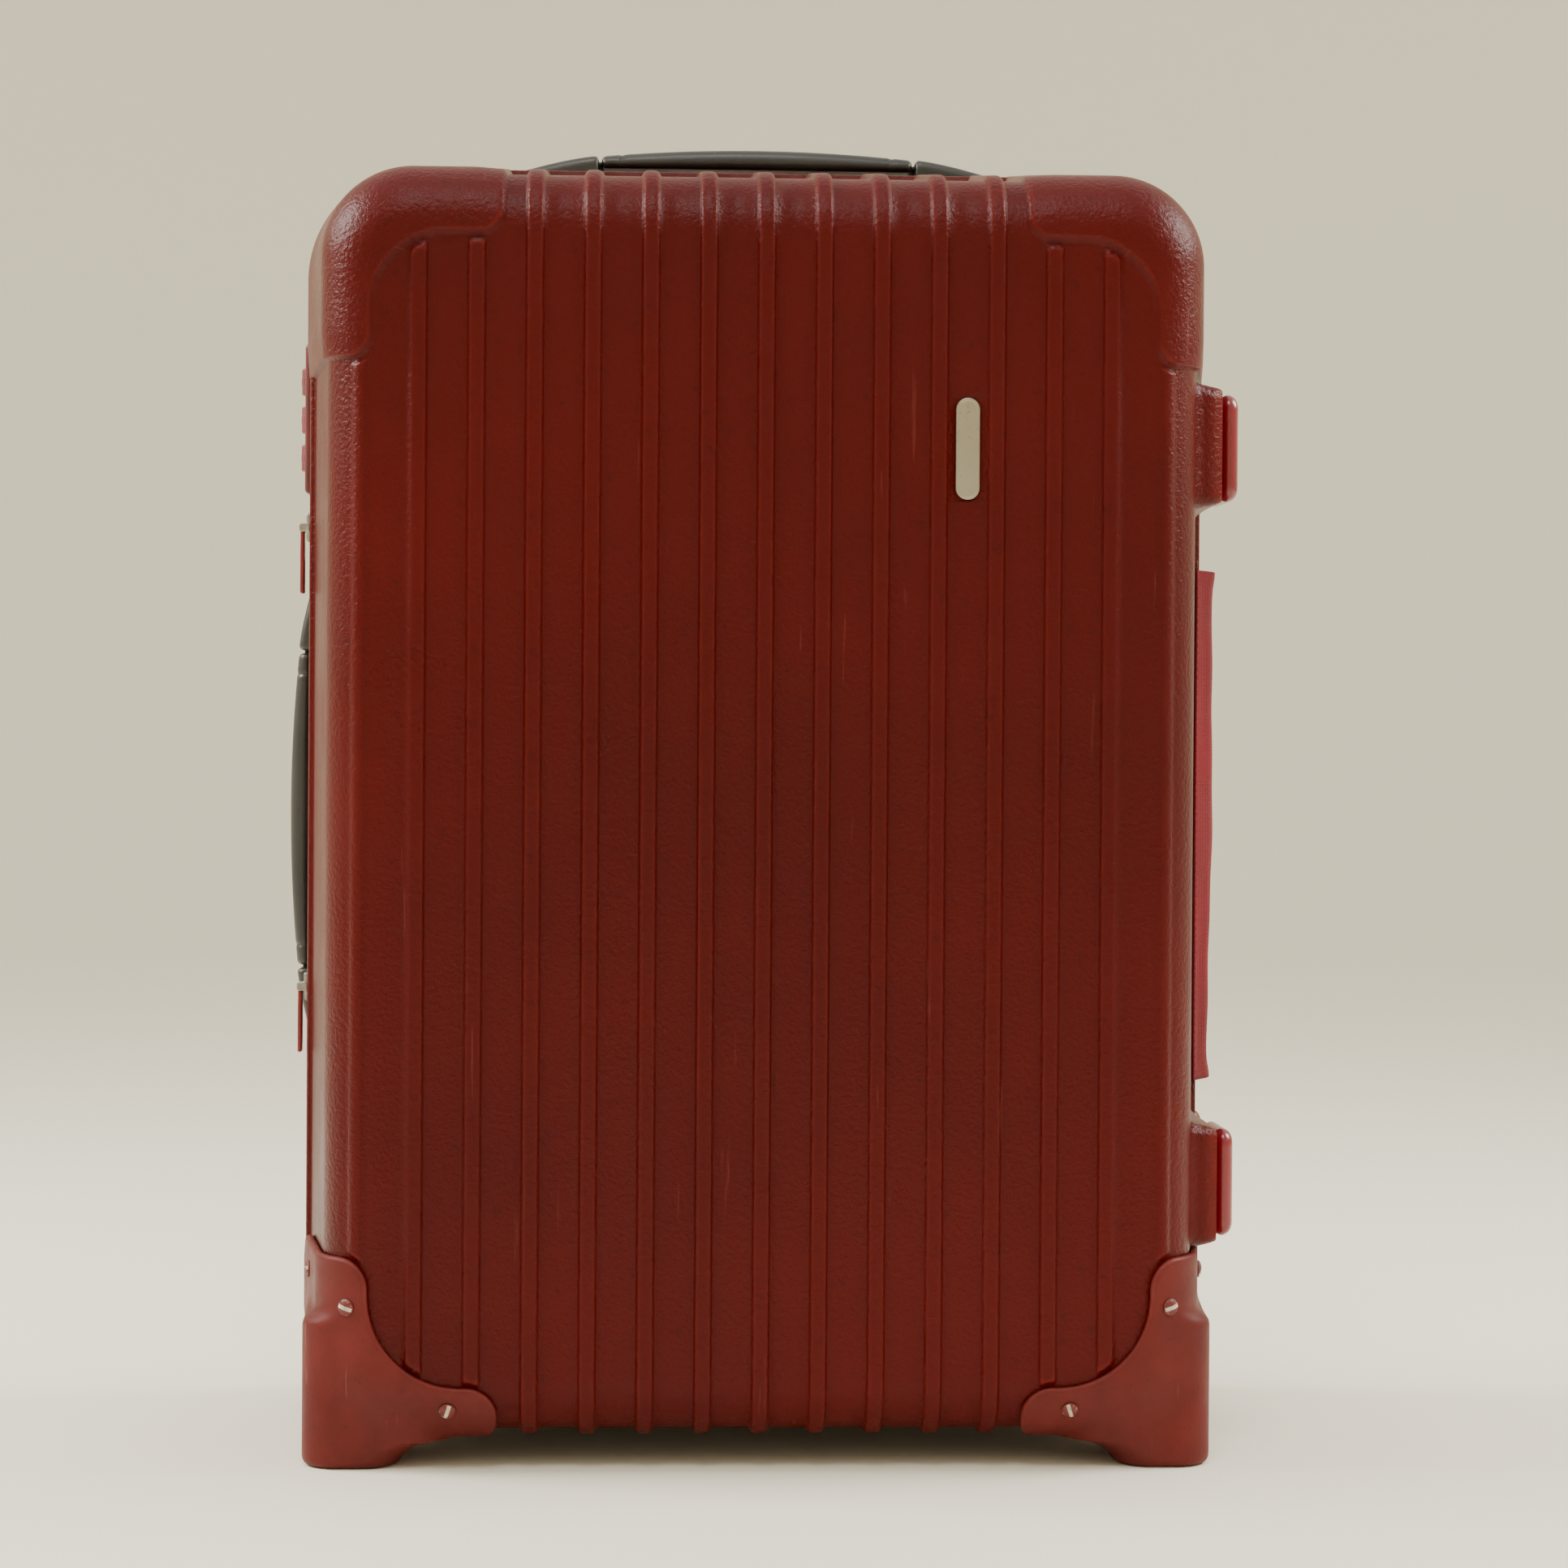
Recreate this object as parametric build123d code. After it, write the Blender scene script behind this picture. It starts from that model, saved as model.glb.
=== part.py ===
from build123d import *
from functools import lru_cache
import os

# Cabin suitcase: two ribbed half shells that open like a book on a fabric hinge, two wheels at the back,
# two foot boots at the front, a telescopic trolley handle and two lifting carry handles.
# Millimetres. +Z up, front face towards -Y, origin on the floor under the middle of the case.

# ---------------------------------------------------------------- half shells
RIM_WIDTH = 376.0  # outline at the open rim of both halves
RIM_HEIGHT = 521.0
RIM_BOTTOM = 12.0  # floor to the lowest point of the rim outline
RIM_CORNER = 46.0
FRONT_DEPTH = 96.6  # parting plane to the flat front panel
BACK_DEPTH = 94.0  # parting plane to the flat back panel
SHELL_LIP = 4.5  # parting plane to each shell's rim
SIDE_SLOPE = 0.158  # how fast the side and top walls lean in, per mm away from the rim
BOTTOM_SLOPE = 0.035
FACE_CORNER = 31.0  # corner radius of the outline at the panel
EDGE_RADIUS = 26.0  # rounding between walls and panel
WALL = 2.0
BEAD_PROUD = 2.0  # rolled edge round the rim
BEAD_WIDTH = 3.5

RIB_COUNT = 13
RIB_PITCH = 23.15
RIB_WIDTH = 7.0
RIB_PROUD = 2.4
EDGE_RIDGE_X = 162.0  # low ridge along each rounded side edge
EDGE_RIDGE_WIDTH = 6.0
EDGE_RIDGE_PROUD = 1.4

# ---------------------------------------------------------------- raised corner caps and foot boots
CORNER_REACH = 105.0  # how near the middle the caps and boots come
CORNER_COLUMN = 157.0  # inner edge of the upright arm
CORNER_TIP_RADIUS = 9.0
CORNER_INNER_RADIUS = 28.0
CORNER_OVERSHOOT = 20.0  # how far the corner areas run past the case
CAP_PROUD = 1.5
CAP_BAR = 38.0  # top of the rim outline down to the lower edge of the cap's arm
CAP_LENGTH = 88.0  # top of the rim outline down to the end of the upright arm
BOOT_PROUD = 3.4
BOOT_GAP = 0.3
BOOT_BAR = 34.0  # floor to the upper edge of the boot's arm
BOOT_HEIGHT = 86.0
BOOT_BACK = 12.0  # parting plane to the back edge of the boots
FOOT_WIDTH = 37.0
FOOT_LENGTH = 44.0
FOOT_CORNER = 15.0
FOOT_X = 162.5
FOOT_Y = 62.0
FOOT_EDGE = 2.0
FOOT_RISE = 60.0  # floor to where the column has run out into the boot's side

# ---------------------------------------------------------------- screws
SCREW_HEAD_RADIUS = 3.9
SCREW_HEAD_HEIGHT = 1.8
SCREW_SHANK_RADIUS = 2.0
SCREW_LENGTH = 5.8
SLOT_WIDTH = 1.0
SLOT_DEPTH = 0.9
SCREW_TILT = 30.0  # how far the two face screws turn from straight ahead
HIGH_SCREW_Z = 66.0
LOW_SCREW_X = 125.0
SIDE_SCREW_Y = 45.0
SIDE_SCREW_Z = 74.0

# ---------------------------------------------------------------- badge
BADGE_WIDTH = 9.8
BADGE_HEIGHT = 41.0
BADGE_THICKNESS = 1.6
BADGE_PROUD = 1.0
BADGE_MARGIN = 0.5
BADGE_Z = 411.0
BADGE_GAP_NUMBER = 3.5  # rib pitches from the middle, so between the third and fourth rib

# ---------------------------------------------------------------- zip
TAPE_INSET = 0.5
TAPE_THICKNESS = 1.6
PARTING_GAP = 0.2
TEETH_PROUD = 1.2
TEETH_WIDTH = 1.6
SLIDER_LENGTH = 12.0
SLIDER_WIDTH = 8.0
SLIDER_THICKNESS = 2.4
SLIDER_CORNER = 2.0
SLIDER_CLEARANCE = 0.3
EAR_THICKNESS = 0.8
EAR_INSET = 0.5
LOWER_SLIDER_Z = 188.0
UPPER_SLIDER_Z = 383.0
PULL_LENGTH = 28.0
PULL_WIDTH = 6.0
PULL_THICKNESS = 1.8
PULL_PIN_RADIUS = 1.0
PULL_PIN_CLEARANCE = 0.08
PULL_PIN_RISE = 0.5  # extra height of the pin over the slider
KNUCKLE_WALL = 0.6
PULL_WINDOW_START = 14.0  # pin to the near end of the pull's window
PULL_WINDOW_END = 24.0
PULL_WINDOW_WIDTH = 2.4

# ---------------------------------------------------------------- fabric hinge on the right edge
HINGE_LOW = 151.0
HINGE_HIGH = 367.0
HINGE_SPAN = 26.0  # distance between the two fold lines
HINGE_STANDOFF = 2.0  # rolled edge to the fold lines
HINGE_THICKNESS = 1.6
HINGE_FOLD_GAP = 0.3
FLAP_REACH = 26.0  # parting plane to where the flap meets the wall
FLAP_SEAM = 8.0

# ---------------------------------------------------------------- bumper feet on the right edge
PAD_LOW_Z = 111.5
PAD_HIGH_Z = 416.0
PAD_HEIGHT = 45.0
PAD_DEPTH = 40.0
PAD_Y = 40.0
PAD_THICKNESS = 8.5
PAD_RADIUS = 6.5
PAD_OVER_RIM = 9.5
SWELL_MARGIN = 2.5  # moulded swelling round each pad
SWELL_DEPTH_MARGIN = 9.0
SWELL_RADIUS = 8.0

# ---------------------------------------------------------------- carry handles
HANDLE_LENGTH = 212.0
GRIP_LENGTH = 135.0
HANDLE_WIDTH = 30.0
HANDLE_GAP = 1.0
HANDLE_HEIGHT = 15.0
GRIP_END_HEIGHT = 11.5
GRIP_UNDERSIDE = 6.0
LUG_TIP_HEIGHT = 3.0
HANDLE_ROUND = 2.0
HANDLE_Y = 33.0
SIDE_HANDLE_Z = 263.0
SEAT_OVER_RIM = 2.0  # top seat above the rim outline
SEAT_IN_RIM = 3.0  # side seat inside the rim outline
SEAT_MARGIN = 3.0
STRAP_WIDTH = 16.0
STRAP_THICKNESS = 2.0
STRAP_HEIGHT = 7.4
STRAP_LAP = 14.0
STRAP_CLEARANCE = 0.4
HANDLE_SCREW_RADIUS = 1.8
HANDLE_SCREW_DEPTH = 12.0

# ---------------------------------------------------------------- lock on the left edge
LOCK_Z = 430.0
LOCK_HEIGHT = 64.0
LOCK_FRONT = 5.0
LOCK_DEPTH = 30.0
LOCK_OVER_RIM = 5.0
LOCK_THICKNESS = 17.0
LOCK_ROUND = 2.0
DIAL_COUNT = 3
DIAL_SIDES = 10
DIAL_PITCH = 16.3
DIAL_WIDTH = 11.3
DIAL_RADIUS = 7.5
DIAL_INSET = 10.0  # lock front edge to the dials' axis
DIAL_AXIS_DEPTH = 5.0  # lock face to the dials' axis
DIAL_CLEARANCE = 0.5
DIAL_SHAFT_RADIUS = 1.8
SHAFT_CLEARANCE = 0.05
RELEASE_LENGTH = 14.0
RELEASE_WIDTH = 5.0
RELEASE_TRAVEL = 5.0
RELEASE_DEPTH = 4.0
RELEASE_PROUD = 1.5
LOCK_CONTROL_INSET = 24.5  # lock front edge to the release slide and key cylinder
RELEASE_Z = 12.0
KEY_Z = -16.0
KEY_RADIUS = 4.0
KEY_DEPTH = 8.0
KEY_PROUD = 0.6

# ---------------------------------------------------------------- wheels
TYRE_RADIUS = 26.0
TYRE_WIDTH = 18.0
TYRE_ROUND = 4.0
WHEEL_RIM_RADIUS = 18.5
WHEEL_RIM_INNER = 15.0
WHEEL_HUB_RADIUS = 10.0
WHEEL_WEB = 5.0
BEARING_RADIUS = 8.0
BEARING_WIDTH = 5.0
AXLE_RADIUS = 3.0
AXLE_CLEARANCE = 0.05
AXLE_HEAD_RADIUS = 5.5
AXLE_HEAD = 2.0
WHEEL_X = 158.0
WHEEL_BEHIND_PANEL = 6.0  # back panel to the rearmost point of the tyres
WHEEL_SIDE_GAP = 3.0
WHEEL_ARCH_GAP = 3.5
CHEEK_WIDTH = 6.0
CHEEK_RADIUS = 13.0
HOUSING_WALL = 3.5
HOUSING_PROUD = 1.5
HUB_CLEARANCE = 0.5

# ---------------------------------------------------------------- trolley handle
TUBE_SPACING = 150.0
TUBE_Y = 79.0
TUBE_WIDTH = 22.0
TUBE_DEPTH = 14.0
TUBE_CORNER = 3.0
TUBE_WALL = 1.0
TUBE_CLEARANCE = 0.3
TUBE_FOOT_Z = 44.0
TROLLEY_FLOOR_Z = 507.0  # floor of the recess that the grip sinks into
TROLLEY_FLOOR_WALL = 5.0
MIDDLE_TUBE_LENGTH = 430.0
INNER_TUBE_LENGTH = 420.0
TUBE_STAGGER = 1.5  # how much higher each inner tube's end stands
GRIP_SOCKET = 10.0
TROLLEY_GRIP_WIDTH = 190.0
TROLLEY_GRIP_DEPTH = 22.0
TROLLEY_GRIP_HEIGHT = 20.0
TROLLEY_GRIP_SPLIT = 9.0
TROLLEY_GRIP_ROUND = 5.0
TROLLEY_GRIP_GAP = 3.0  # round the grip inside its recess
TROLLEY_WALL = 4.0
BUTTON_LENGTH = 44.0
BUTTON_WIDTH = 12.0
BUTTON_PROUD = 1.5
BUTTON_TRAVEL = 3.0
BUTTON_DEPTH = 4.0
BUTTON_CLEARANCE = 0.3
FOOT_BRACKET_HEIGHT = 14.0
FOOT_BRACKET_MARGIN = 6.0

# ---------------------------------------------------------------- inside of the case
LINING_GAP = 1.0
LINING_THICKNESS = 1.2
BOARD_THICKNESS = 1.6
BOARD_TUBE_GAP = 1.0
FITTING_GAP = 0.5
STRAP_WEB_WIDTH = 25.0
STRAP_WEB_THICKNESS = 1.4
STRAP_END_X = 118.0
STRAP_END_RISE = 150.0
BUCKLE_WIDTH = 34.0
BUCKLE_LENGTH = 26.0
BUCKLE_THICKNESS = 6.0
POCKET_WIDTH = 230.0
POCKET_HEIGHT = 250.0
POCKET_THICKNESS = 1.2

# ---------------------------------------------------------------- places worked out from the sizes
RIM_HALF = RIM_WIDTH / 2
RIM_TOP = RIM_BOTTOM + RIM_HEIGHT
MIDDLE_Z = RIM_BOTTOM + RIM_HEIGHT / 2
TOP_SEAT_Z = RIM_TOP + SEAT_OVER_RIM
SIDE_SEAT_X = -(RIM_HALF - SEAT_IN_RIM)
HINGE_X = RIM_HALF + BEAD_PROUD + HINGE_STANDOFF
WHEEL_Y = BACK_DEPTH + WHEEL_BEHIND_PANEL - TYRE_RADIUS
WHEEL_Z = TYRE_RADIUS
LOCK_FACE_X = -(RIM_HALF + LOCK_OVER_RIM)
DIAL_AXIS_X = LOCK_FACE_X + DIAL_AXIS_DEPTH
DIAL_AXIS_Y = LOCK_FRONT + DIAL_INSET
TEETH_FACE_X = -(RIM_HALF - TAPE_INSET + TEETH_PROUD)
BOARD_Y = TUBE_Y - TUBE_DEPTH / 2 - BOARD_TUBE_GAP  # back face of the board in front of the tubes
LINING_FLOOR_Y = BOARD_Y - BOARD_THICKNESS
FAR = 400.0  # long enough to pass through the whole case


def save(shape, name):
    """Writes one sub-part to its own STEP file."""
    export_step(shape, f"parts/{name}.step")


def group(solids):
    """Several separate solids in one node."""
    return Compound(children=list(solids))


def block(x, y, z):
    """Box between three (low, high) pairs."""
    size = [high - low for low, high in (x, y, z)]
    middle = [(high + low) / 2 for low, high in (x, y, z)]
    return Pos(*middle) * Box(*size)


def span(middle, size):
    """The (low, high) pair of a size about its middle."""
    return (middle - size / 2, middle + size / 2)


def to_back(shape):
    """Mirrors a shape from the front half to the back half."""
    return mirror(shape, about=Plane.XZ)


def to_other_side(shape):
    """Mirrors a shape from one side of the case to the other."""
    return mirror(shape, about=Plane.YZ)


# ---------------------------------------------------------------- shell shape
def facing_front(distance):
    """Plane at this distance in front of the parting plane, seen from the front: X right, Y up."""
    return Plane(origin=(0, -distance, 0), x_dir=(1, 0, 0), z_dir=(0, -1, 0))


def section(distance, corner, offset):
    """Outline of a half shell at this distance from the parting plane, moved outwards by offset."""
    run = distance - SHELL_LIP
    half = RIM_HALF + offset - SIDE_SLOPE * run
    low = RIM_BOTTOM - offset + BOTTOM_SLOPE * run
    high = RIM_TOP + offset - SIDE_SLOPE * run
    outline = Pos(0, (low + high) / 2) * RectangleRounded(2 * half, high - low, corner)
    return facing_front(distance) * outline


@lru_cache(maxsize=None)
def half_body(depth, offset=0.0):
    """Solid filling one half shell, moved outwards by offset, on the front side."""
    rim = section(SHELL_LIP, RIM_CORNER + offset, offset)
    panel = section(depth + offset, FACE_CORNER + offset, offset)
    body = loft([rim.face(), panel.face()], ruled=True)
    return fillet(body.faces().sort_by(Axis.Y)[0].edges(), EDGE_RADIUS + offset)


def rim_ring(near, far, inner, outer):
    """Band along the rim outline between two distances from the parting plane."""
    band = section(near, RIM_CORNER + outer, outer) - section(near, RIM_CORNER + inner, inner)
    return extrude(band, far - near)


def rim_band(near, far, inner, outer):
    """A rim ring made at the lip's outline, wherever it starts."""
    return Pos(0, SHELL_LIP - near, 0) * rim_ring(SHELL_LIP, SHELL_LIP + far - near, inner, outer)


def rib_places():
    """The ribs' X positions, evenly spaced about the middle."""
    return [(i - (RIB_COUNT - 1) / 2) * RIB_PITCH for i in range(RIB_COUNT)]


def corner_area(bar, end, edge):
    """L-shaped area on the +X side with soft corners, between the outer edge and a wavy inner outline."""
    out = RIM_HALF + CORNER_OVERSHOOT
    corners = [(out, edge), (CORNER_REACH, edge), (CORNER_REACH, bar)]
    corners += [(CORNER_COLUMN, bar), (CORNER_COLUMN, end), (out, end)]
    area = make_face(Polyline(*corners, close=True))
    rounds = (
        ((CORNER_REACH, bar), CORNER_TIP_RADIUS),
        ((CORNER_COLUMN, bar), CORNER_INNER_RADIUS),
        ((CORNER_COLUMN, end), CORNER_TIP_RADIUS),
    )
    for place, radius in rounds:
        area = fillet(area.vertices().sort_by_distance(place)[0], radius)
    return area


def corner_prism(bar, end, edge):
    """The two corner areas of one half, through its whole depth."""
    prism = extrude(facing_front(SHELL_LIP) * corner_area(bar, end, edge), FAR)
    return prism + to_other_side(prism)


def cap_prism():
    return corner_prism(RIM_TOP - CAP_BAR, RIM_TOP - CAP_LENGTH, RIM_TOP + CAP_BAR)


def boot_prism(grow=0.0):
    return corner_prism(BOOT_BAR + grow, BOOT_HEIGHT + grow, -CAP_BAR)


def ribs(depth):
    """All the ribs of one half, with the low ridges along its side edges."""
    raised = half_body(depth, RIB_PROUD)
    bars = [block(span(x, RIB_WIDTH), (-FAR, 0), (-FAR, 2 * FAR)) for x in rib_places()]
    low = half_body(depth, EDGE_RIDGE_PROUD)
    ridge = block(span(EDGE_RIDGE_X, EDGE_RIDGE_WIDTH), (-FAR, -depth + EDGE_RADIUS), (-FAR, 2 * FAR))
    return (raised & Part() + bars) + (low & (ridge + to_other_side(ridge)))


def pad_swell(z):
    """Moulded swelling that carries a bumper foot, on the front half."""
    face_x = RIM_HALF + PAD_OVER_RIM - PAD_THICKNESS
    depth = PAD_DEPTH + 2 * SWELL_DEPTH_MARGIN
    height = PAD_HEIGHT + 2 * SWELL_MARGIN
    body = block((RIM_HALF - PAD_DEPTH, face_x), span(-PAD_Y, depth), span(z, height))
    outer = body.faces().sort_by(Axis.X)[-1].edges()
    return fillet(outer, SWELL_RADIUS / 2)


def pad(z):
    """Bumper foot on the front half."""
    x = (RIM_HALF + PAD_OVER_RIM - PAD_THICKNESS, RIM_HALF + PAD_OVER_RIM)
    body = block(x, span(-PAD_Y, PAD_DEPTH), span(z, PAD_HEIGHT))
    body = fillet(body.edges().filter_by(Axis.X), PAD_RADIUS)
    return fillet(body.faces().sort_by(Axis.X)[-1].edges(), PAD_RADIUS / 2)


@lru_cache(maxsize=None)
def bare_shell(depth):
    """One half shell with its ribs, swellings and rolled rim, before anything is cut in it."""
    skin = half_body(depth)
    outside = skin + ribs(depth)
    for z in (PAD_LOW_Z, PAD_HIGH_Z):
        outside += pad_swell(z)
    shell = outside - half_body(depth, -WALL)
    bead = rim_ring(SHELL_LIP, SHELL_LIP + BEAD_WIDTH, -WALL, BEAD_PROUD)
    return shell + bead


# ---------------------------------------------------------------- screws and badge
def slotted_screw():
    """Round-head screw along Z, seat of the head at z = 0, shank below."""
    head = Cylinder(SCREW_HEAD_RADIUS, SCREW_HEAD_HEIGHT, align=(Align.CENTER, Align.CENTER, Align.MIN))
    head = fillet(head.edges().sort_by(Axis.Z)[-1], SCREW_HEAD_HEIGHT * 0.7)
    slot = block(span(0, FAR), span(0, SLOT_WIDTH), (SCREW_HEAD_HEIGHT - SLOT_DEPTH, FAR))
    shank = Cylinder(SCREW_SHANK_RADIUS, SCREW_LENGTH, align=(Align.CENTER, Align.CENTER, Align.MAX))
    return head - slot + shank


def edge_centre(slope):
    """How far inside a wall's line at the same depth the centre of the rounded edge lies."""
    return EDGE_RADIUS * ((1 + slope**2) ** 0.5 - slope)


def boot_screws():
    """Three screws in each boot: two on the rounded face, one on the side."""
    arm = EDGE_RADIUS + BOOT_PROUD
    run = FRONT_DEPTH - SHELL_LIP
    ahead = Vector(0, -1, 0)
    centre_x = RIM_HALF - SIDE_SLOPE * run - edge_centre(SIDE_SLOPE)
    centre_y = -FRONT_DEPTH + EDGE_RADIUS
    centre_z = RIM_BOTTOM + BOTTOM_SLOPE * run + edge_centre(BOTTOM_SLOPE)
    wall_x = RIM_HALF + BOOT_PROUD - SIDE_SLOPE * (SIDE_SCREW_Y - SHELL_LIP)
    outward = ahead.rotate(Axis.Z, SCREW_TILT)
    downward = ahead.rotate(Axis.X, SCREW_TILT)
    high = Plane((centre_x, centre_y, HIGH_SCREW_Z), x_dir=(0, 0, 1), z_dir=outward)
    low = Plane((LOW_SCREW_X, centre_y, centre_z), x_dir=(1, 0, 0), z_dir=downward)
    side = Plane((wall_x, -SIDE_SCREW_Y, SIDE_SCREW_Z), x_dir=(0, 0, 1), z_dir=(1, 0, 0))
    screws = [place * (Pos(0, 0, arm) * slotted_screw()) for place in (high, low)]
    screws.append(side * slotted_screw())
    return screws + [to_other_side(s) for s in screws]


def badge(thickness, grow):
    """Blank pill-shaped plate between two ribs; grown a little it is the plate's recess."""
    plate = SlotOverall(BADGE_HEIGHT + 2 * grow, BADGE_WIDTH + 2 * grow, rotation=90)
    place = facing_front(FRONT_DEPTH + BADGE_PROUD - thickness)
    return extrude(place * (Pos(BADGE_GAP_NUMBER * RIB_PITCH, BADGE_Z) * plate), thickness)


# ---------------------------------------------------------------- boots
def boot():
    """Foot cover over the lower left front corner, with a column down to the floor."""
    skin = half_body(FRONT_DEPTH, BOOT_PROUD)
    hollow = half_body(FRONT_DEPTH, BOOT_GAP)
    corner = block((-FAR, 0), (-FAR, -BOOT_BACK), (-FAR, FAR))
    cover = (skin - hollow) & boot_prism() & corner
    plan = RectangleRounded(FOOT_WIDTH, FOOT_LENGTH, FOOT_CORNER)
    column = extrude(Pos(-FOOT_X, -FOOT_Y) * plan, FOOT_RISE)
    column = fillet(column.edges().group_by(Axis.Z)[0], FOOT_EDGE)
    return cover + (column - hollow)


# ---------------------------------------------------------------- zip
def zip_tape():
    """Front zip tape with its row of teeth, which is missing along the fabric hinge."""
    outer = -TAPE_INSET
    tape = rim_band(PARTING_GAP, SHELL_LIP, outer - TAPE_THICKNESS, outer)
    teeth = rim_band(PARTING_GAP, PARTING_GAP + TEETH_WIDTH, outer, outer + TEETH_PROUD)
    hinge_side = block((0, FAR), (-FAR, FAR), (HINGE_LOW, HINGE_HIGH))
    return tape + (teeth - hinge_side)


def slider_place(z):
    """Plane on the teeth at the left edge: local Z points out of the case, local X up."""
    return Plane(origin=(TEETH_FACE_X - SLIDER_CLEARANCE, 0, z), x_dir=(0, 0, 1), z_dir=(-1, 0, 0))


def pull_pin_height():
    """Underside of a slider to the middle of its cross pin."""
    return SLIDER_THICKNESS + SLIDER_CLEARANCE + PULL_THICKNESS / 2 + PULL_PIN_RISE


def zip_slider(z):
    """Slider plate with two ears and a cross pin for its pull."""
    plate = block(span(0, SLIDER_LENGTH), span(0, SLIDER_WIDTH), (0, SLIDER_THICKNESS))
    plate = fillet(plate.edges().filter_by(Axis.Z), SLIDER_CORNER)
    ear_height = SLIDER_THICKNESS + PULL_THICKNESS + PULL_PIN_RADIUS
    ears = Part()
    for side in (-1, 1):
        middle = side * (SLIDER_WIDTH / 2 - EAR_INSET)
        across = span(middle, EAR_THICKNESS)
        ears += block(span(0, 2 * PULL_THICKNESS), across, (SLIDER_THICKNESS, ear_height))
    pin = Rot(90, 0, 0) * Cylinder(PULL_PIN_RADIUS, SLIDER_WIDTH - 2 * EAR_INSET)
    return slider_place(z) * (plate + ears + Pos(0, 0, pull_pin_height()) * pin)


def zip_pull(z):
    """Pull tab that hangs from a slider's pin."""
    eye_radius = PULL_PIN_RADIUS + PULL_PIN_CLEARANCE
    knuckle = Rot(90, 0, 0) * Cylinder(PULL_THICKNESS / 2 + KNUCKLE_WALL, PULL_WIDTH)
    tab = block((-PULL_LENGTH, 0), span(0, PULL_WIDTH), span(0, PULL_THICKNESS))
    tab = fillet(tab.edges().filter_by(Axis.Z).group_by(Axis.X)[0], PULL_WIDTH * 0.4)
    hole = Rot(90, 0, 0) * Cylinder(eye_radius, FAR)
    window = block((-PULL_WINDOW_END, -PULL_WINDOW_START), span(0, PULL_WINDOW_WIDTH), span(0, FAR))
    pull = tab + knuckle - hole - window
    return slider_place(z) * (Pos(0, 0, pull_pin_height()) * pull)


# ---------------------------------------------------------------- fabric hinge
def hinge_flap():
    """Fabric patch from the front fold line down to the side wall, where it is sewn on."""
    half = HINGE_THICKNESS / 2
    fold = HINGE_SPAN / 2
    wall_near = RIM_HALF - SIDE_SLOPE * (FLAP_REACH - SHELL_LIP)
    seam_end = FLAP_REACH + FLAP_SEAM
    wall_far = RIM_HALF - SIDE_SLOPE * (seam_end - SHELL_LIP)
    points = [(HINGE_X + half, -fold), (wall_near + HINGE_THICKNESS, -FLAP_REACH)]
    points += [(wall_far + HINGE_THICKNESS, -seam_end), (wall_far, -seam_end)]
    points += [(wall_near, -FLAP_REACH), (HINGE_X - half, -fold)]
    area = make_face(Polyline(*points, close=True)) + Pos(HINGE_X, -fold) * Circle(half)
    return Pos(0, 0, HINGE_LOW) * extrude(area, HINGE_HIGH - HINGE_LOW)


def hinge_gusset():
    """Middle fabric panel between the two fold lines."""
    half = HINGE_THICKNESS / 2
    clear = HINGE_SPAN - 2 * (half + HINGE_FOLD_GAP)
    return block((HINGE_X - half, HINGE_X + half), span(0, clear), (HINGE_LOW, HINGE_HIGH))


# ---------------------------------------------------------------- carry handles
def handle_lug():
    """Wedge end of a carry handle, on the +X side; seat at z = 0."""
    near = GRIP_LENGTH / 2 + HANDLE_GAP
    end = HANDLE_LENGTH / 2
    middle = ((near + end) / 2, (GRIP_END_HEIGHT + LUG_TIP_HEIGHT) / 2 + HANDLE_GAP)
    top = ThreePointArc((near, GRIP_END_HEIGHT), middle, (end, LUG_TIP_HEIGHT))
    sides = Polyline((end, LUG_TIP_HEIGHT), (end, 0), (near, 0), (near, GRIP_END_HEIGHT))
    lug = extrude(Plane.XZ * make_face(top + sides), HANDLE_WIDTH / 2, both=True)
    slot_end = near + STRAP_LAP + STRAP_CLEARANCE - HANDLE_GAP
    slot_y = span(0, STRAP_WIDTH + 2 * STRAP_CLEARANCE)
    return lug - block((near - HANDLE_GAP, slot_end), slot_y, (STRAP_HEIGHT - STRAP_CLEARANCE, FAR))


def handle_strap():
    """Flexible core that joins the grip to both lugs."""
    reach = GRIP_LENGTH / 2 + STRAP_LAP
    return block((-reach, reach), span(0, STRAP_WIDTH), (STRAP_HEIGHT, STRAP_HEIGHT + STRAP_THICKNESS))


def handle_grip():
    """Arched grip between the lugs, hollow where the strap runs."""
    half = GRIP_LENGTH / 2
    top = ThreePointArc((-half, GRIP_END_HEIGHT), (0, HANDLE_HEIGHT), (half, GRIP_END_HEIGHT))
    under = Polyline(
        (half, GRIP_END_HEIGHT), (half, GRIP_UNDERSIDE), (-half, GRIP_UNDERSIDE), (-half, GRIP_END_HEIGHT)
    )
    grip = extrude(Plane.XZ * make_face(top + under), HANDLE_WIDTH / 2, both=True)
    long_edges = grip.edges().filter_by(lambda e: e.length > half)
    return fillet(long_edges, HANDLE_ROUND) - handle_strap()


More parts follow.
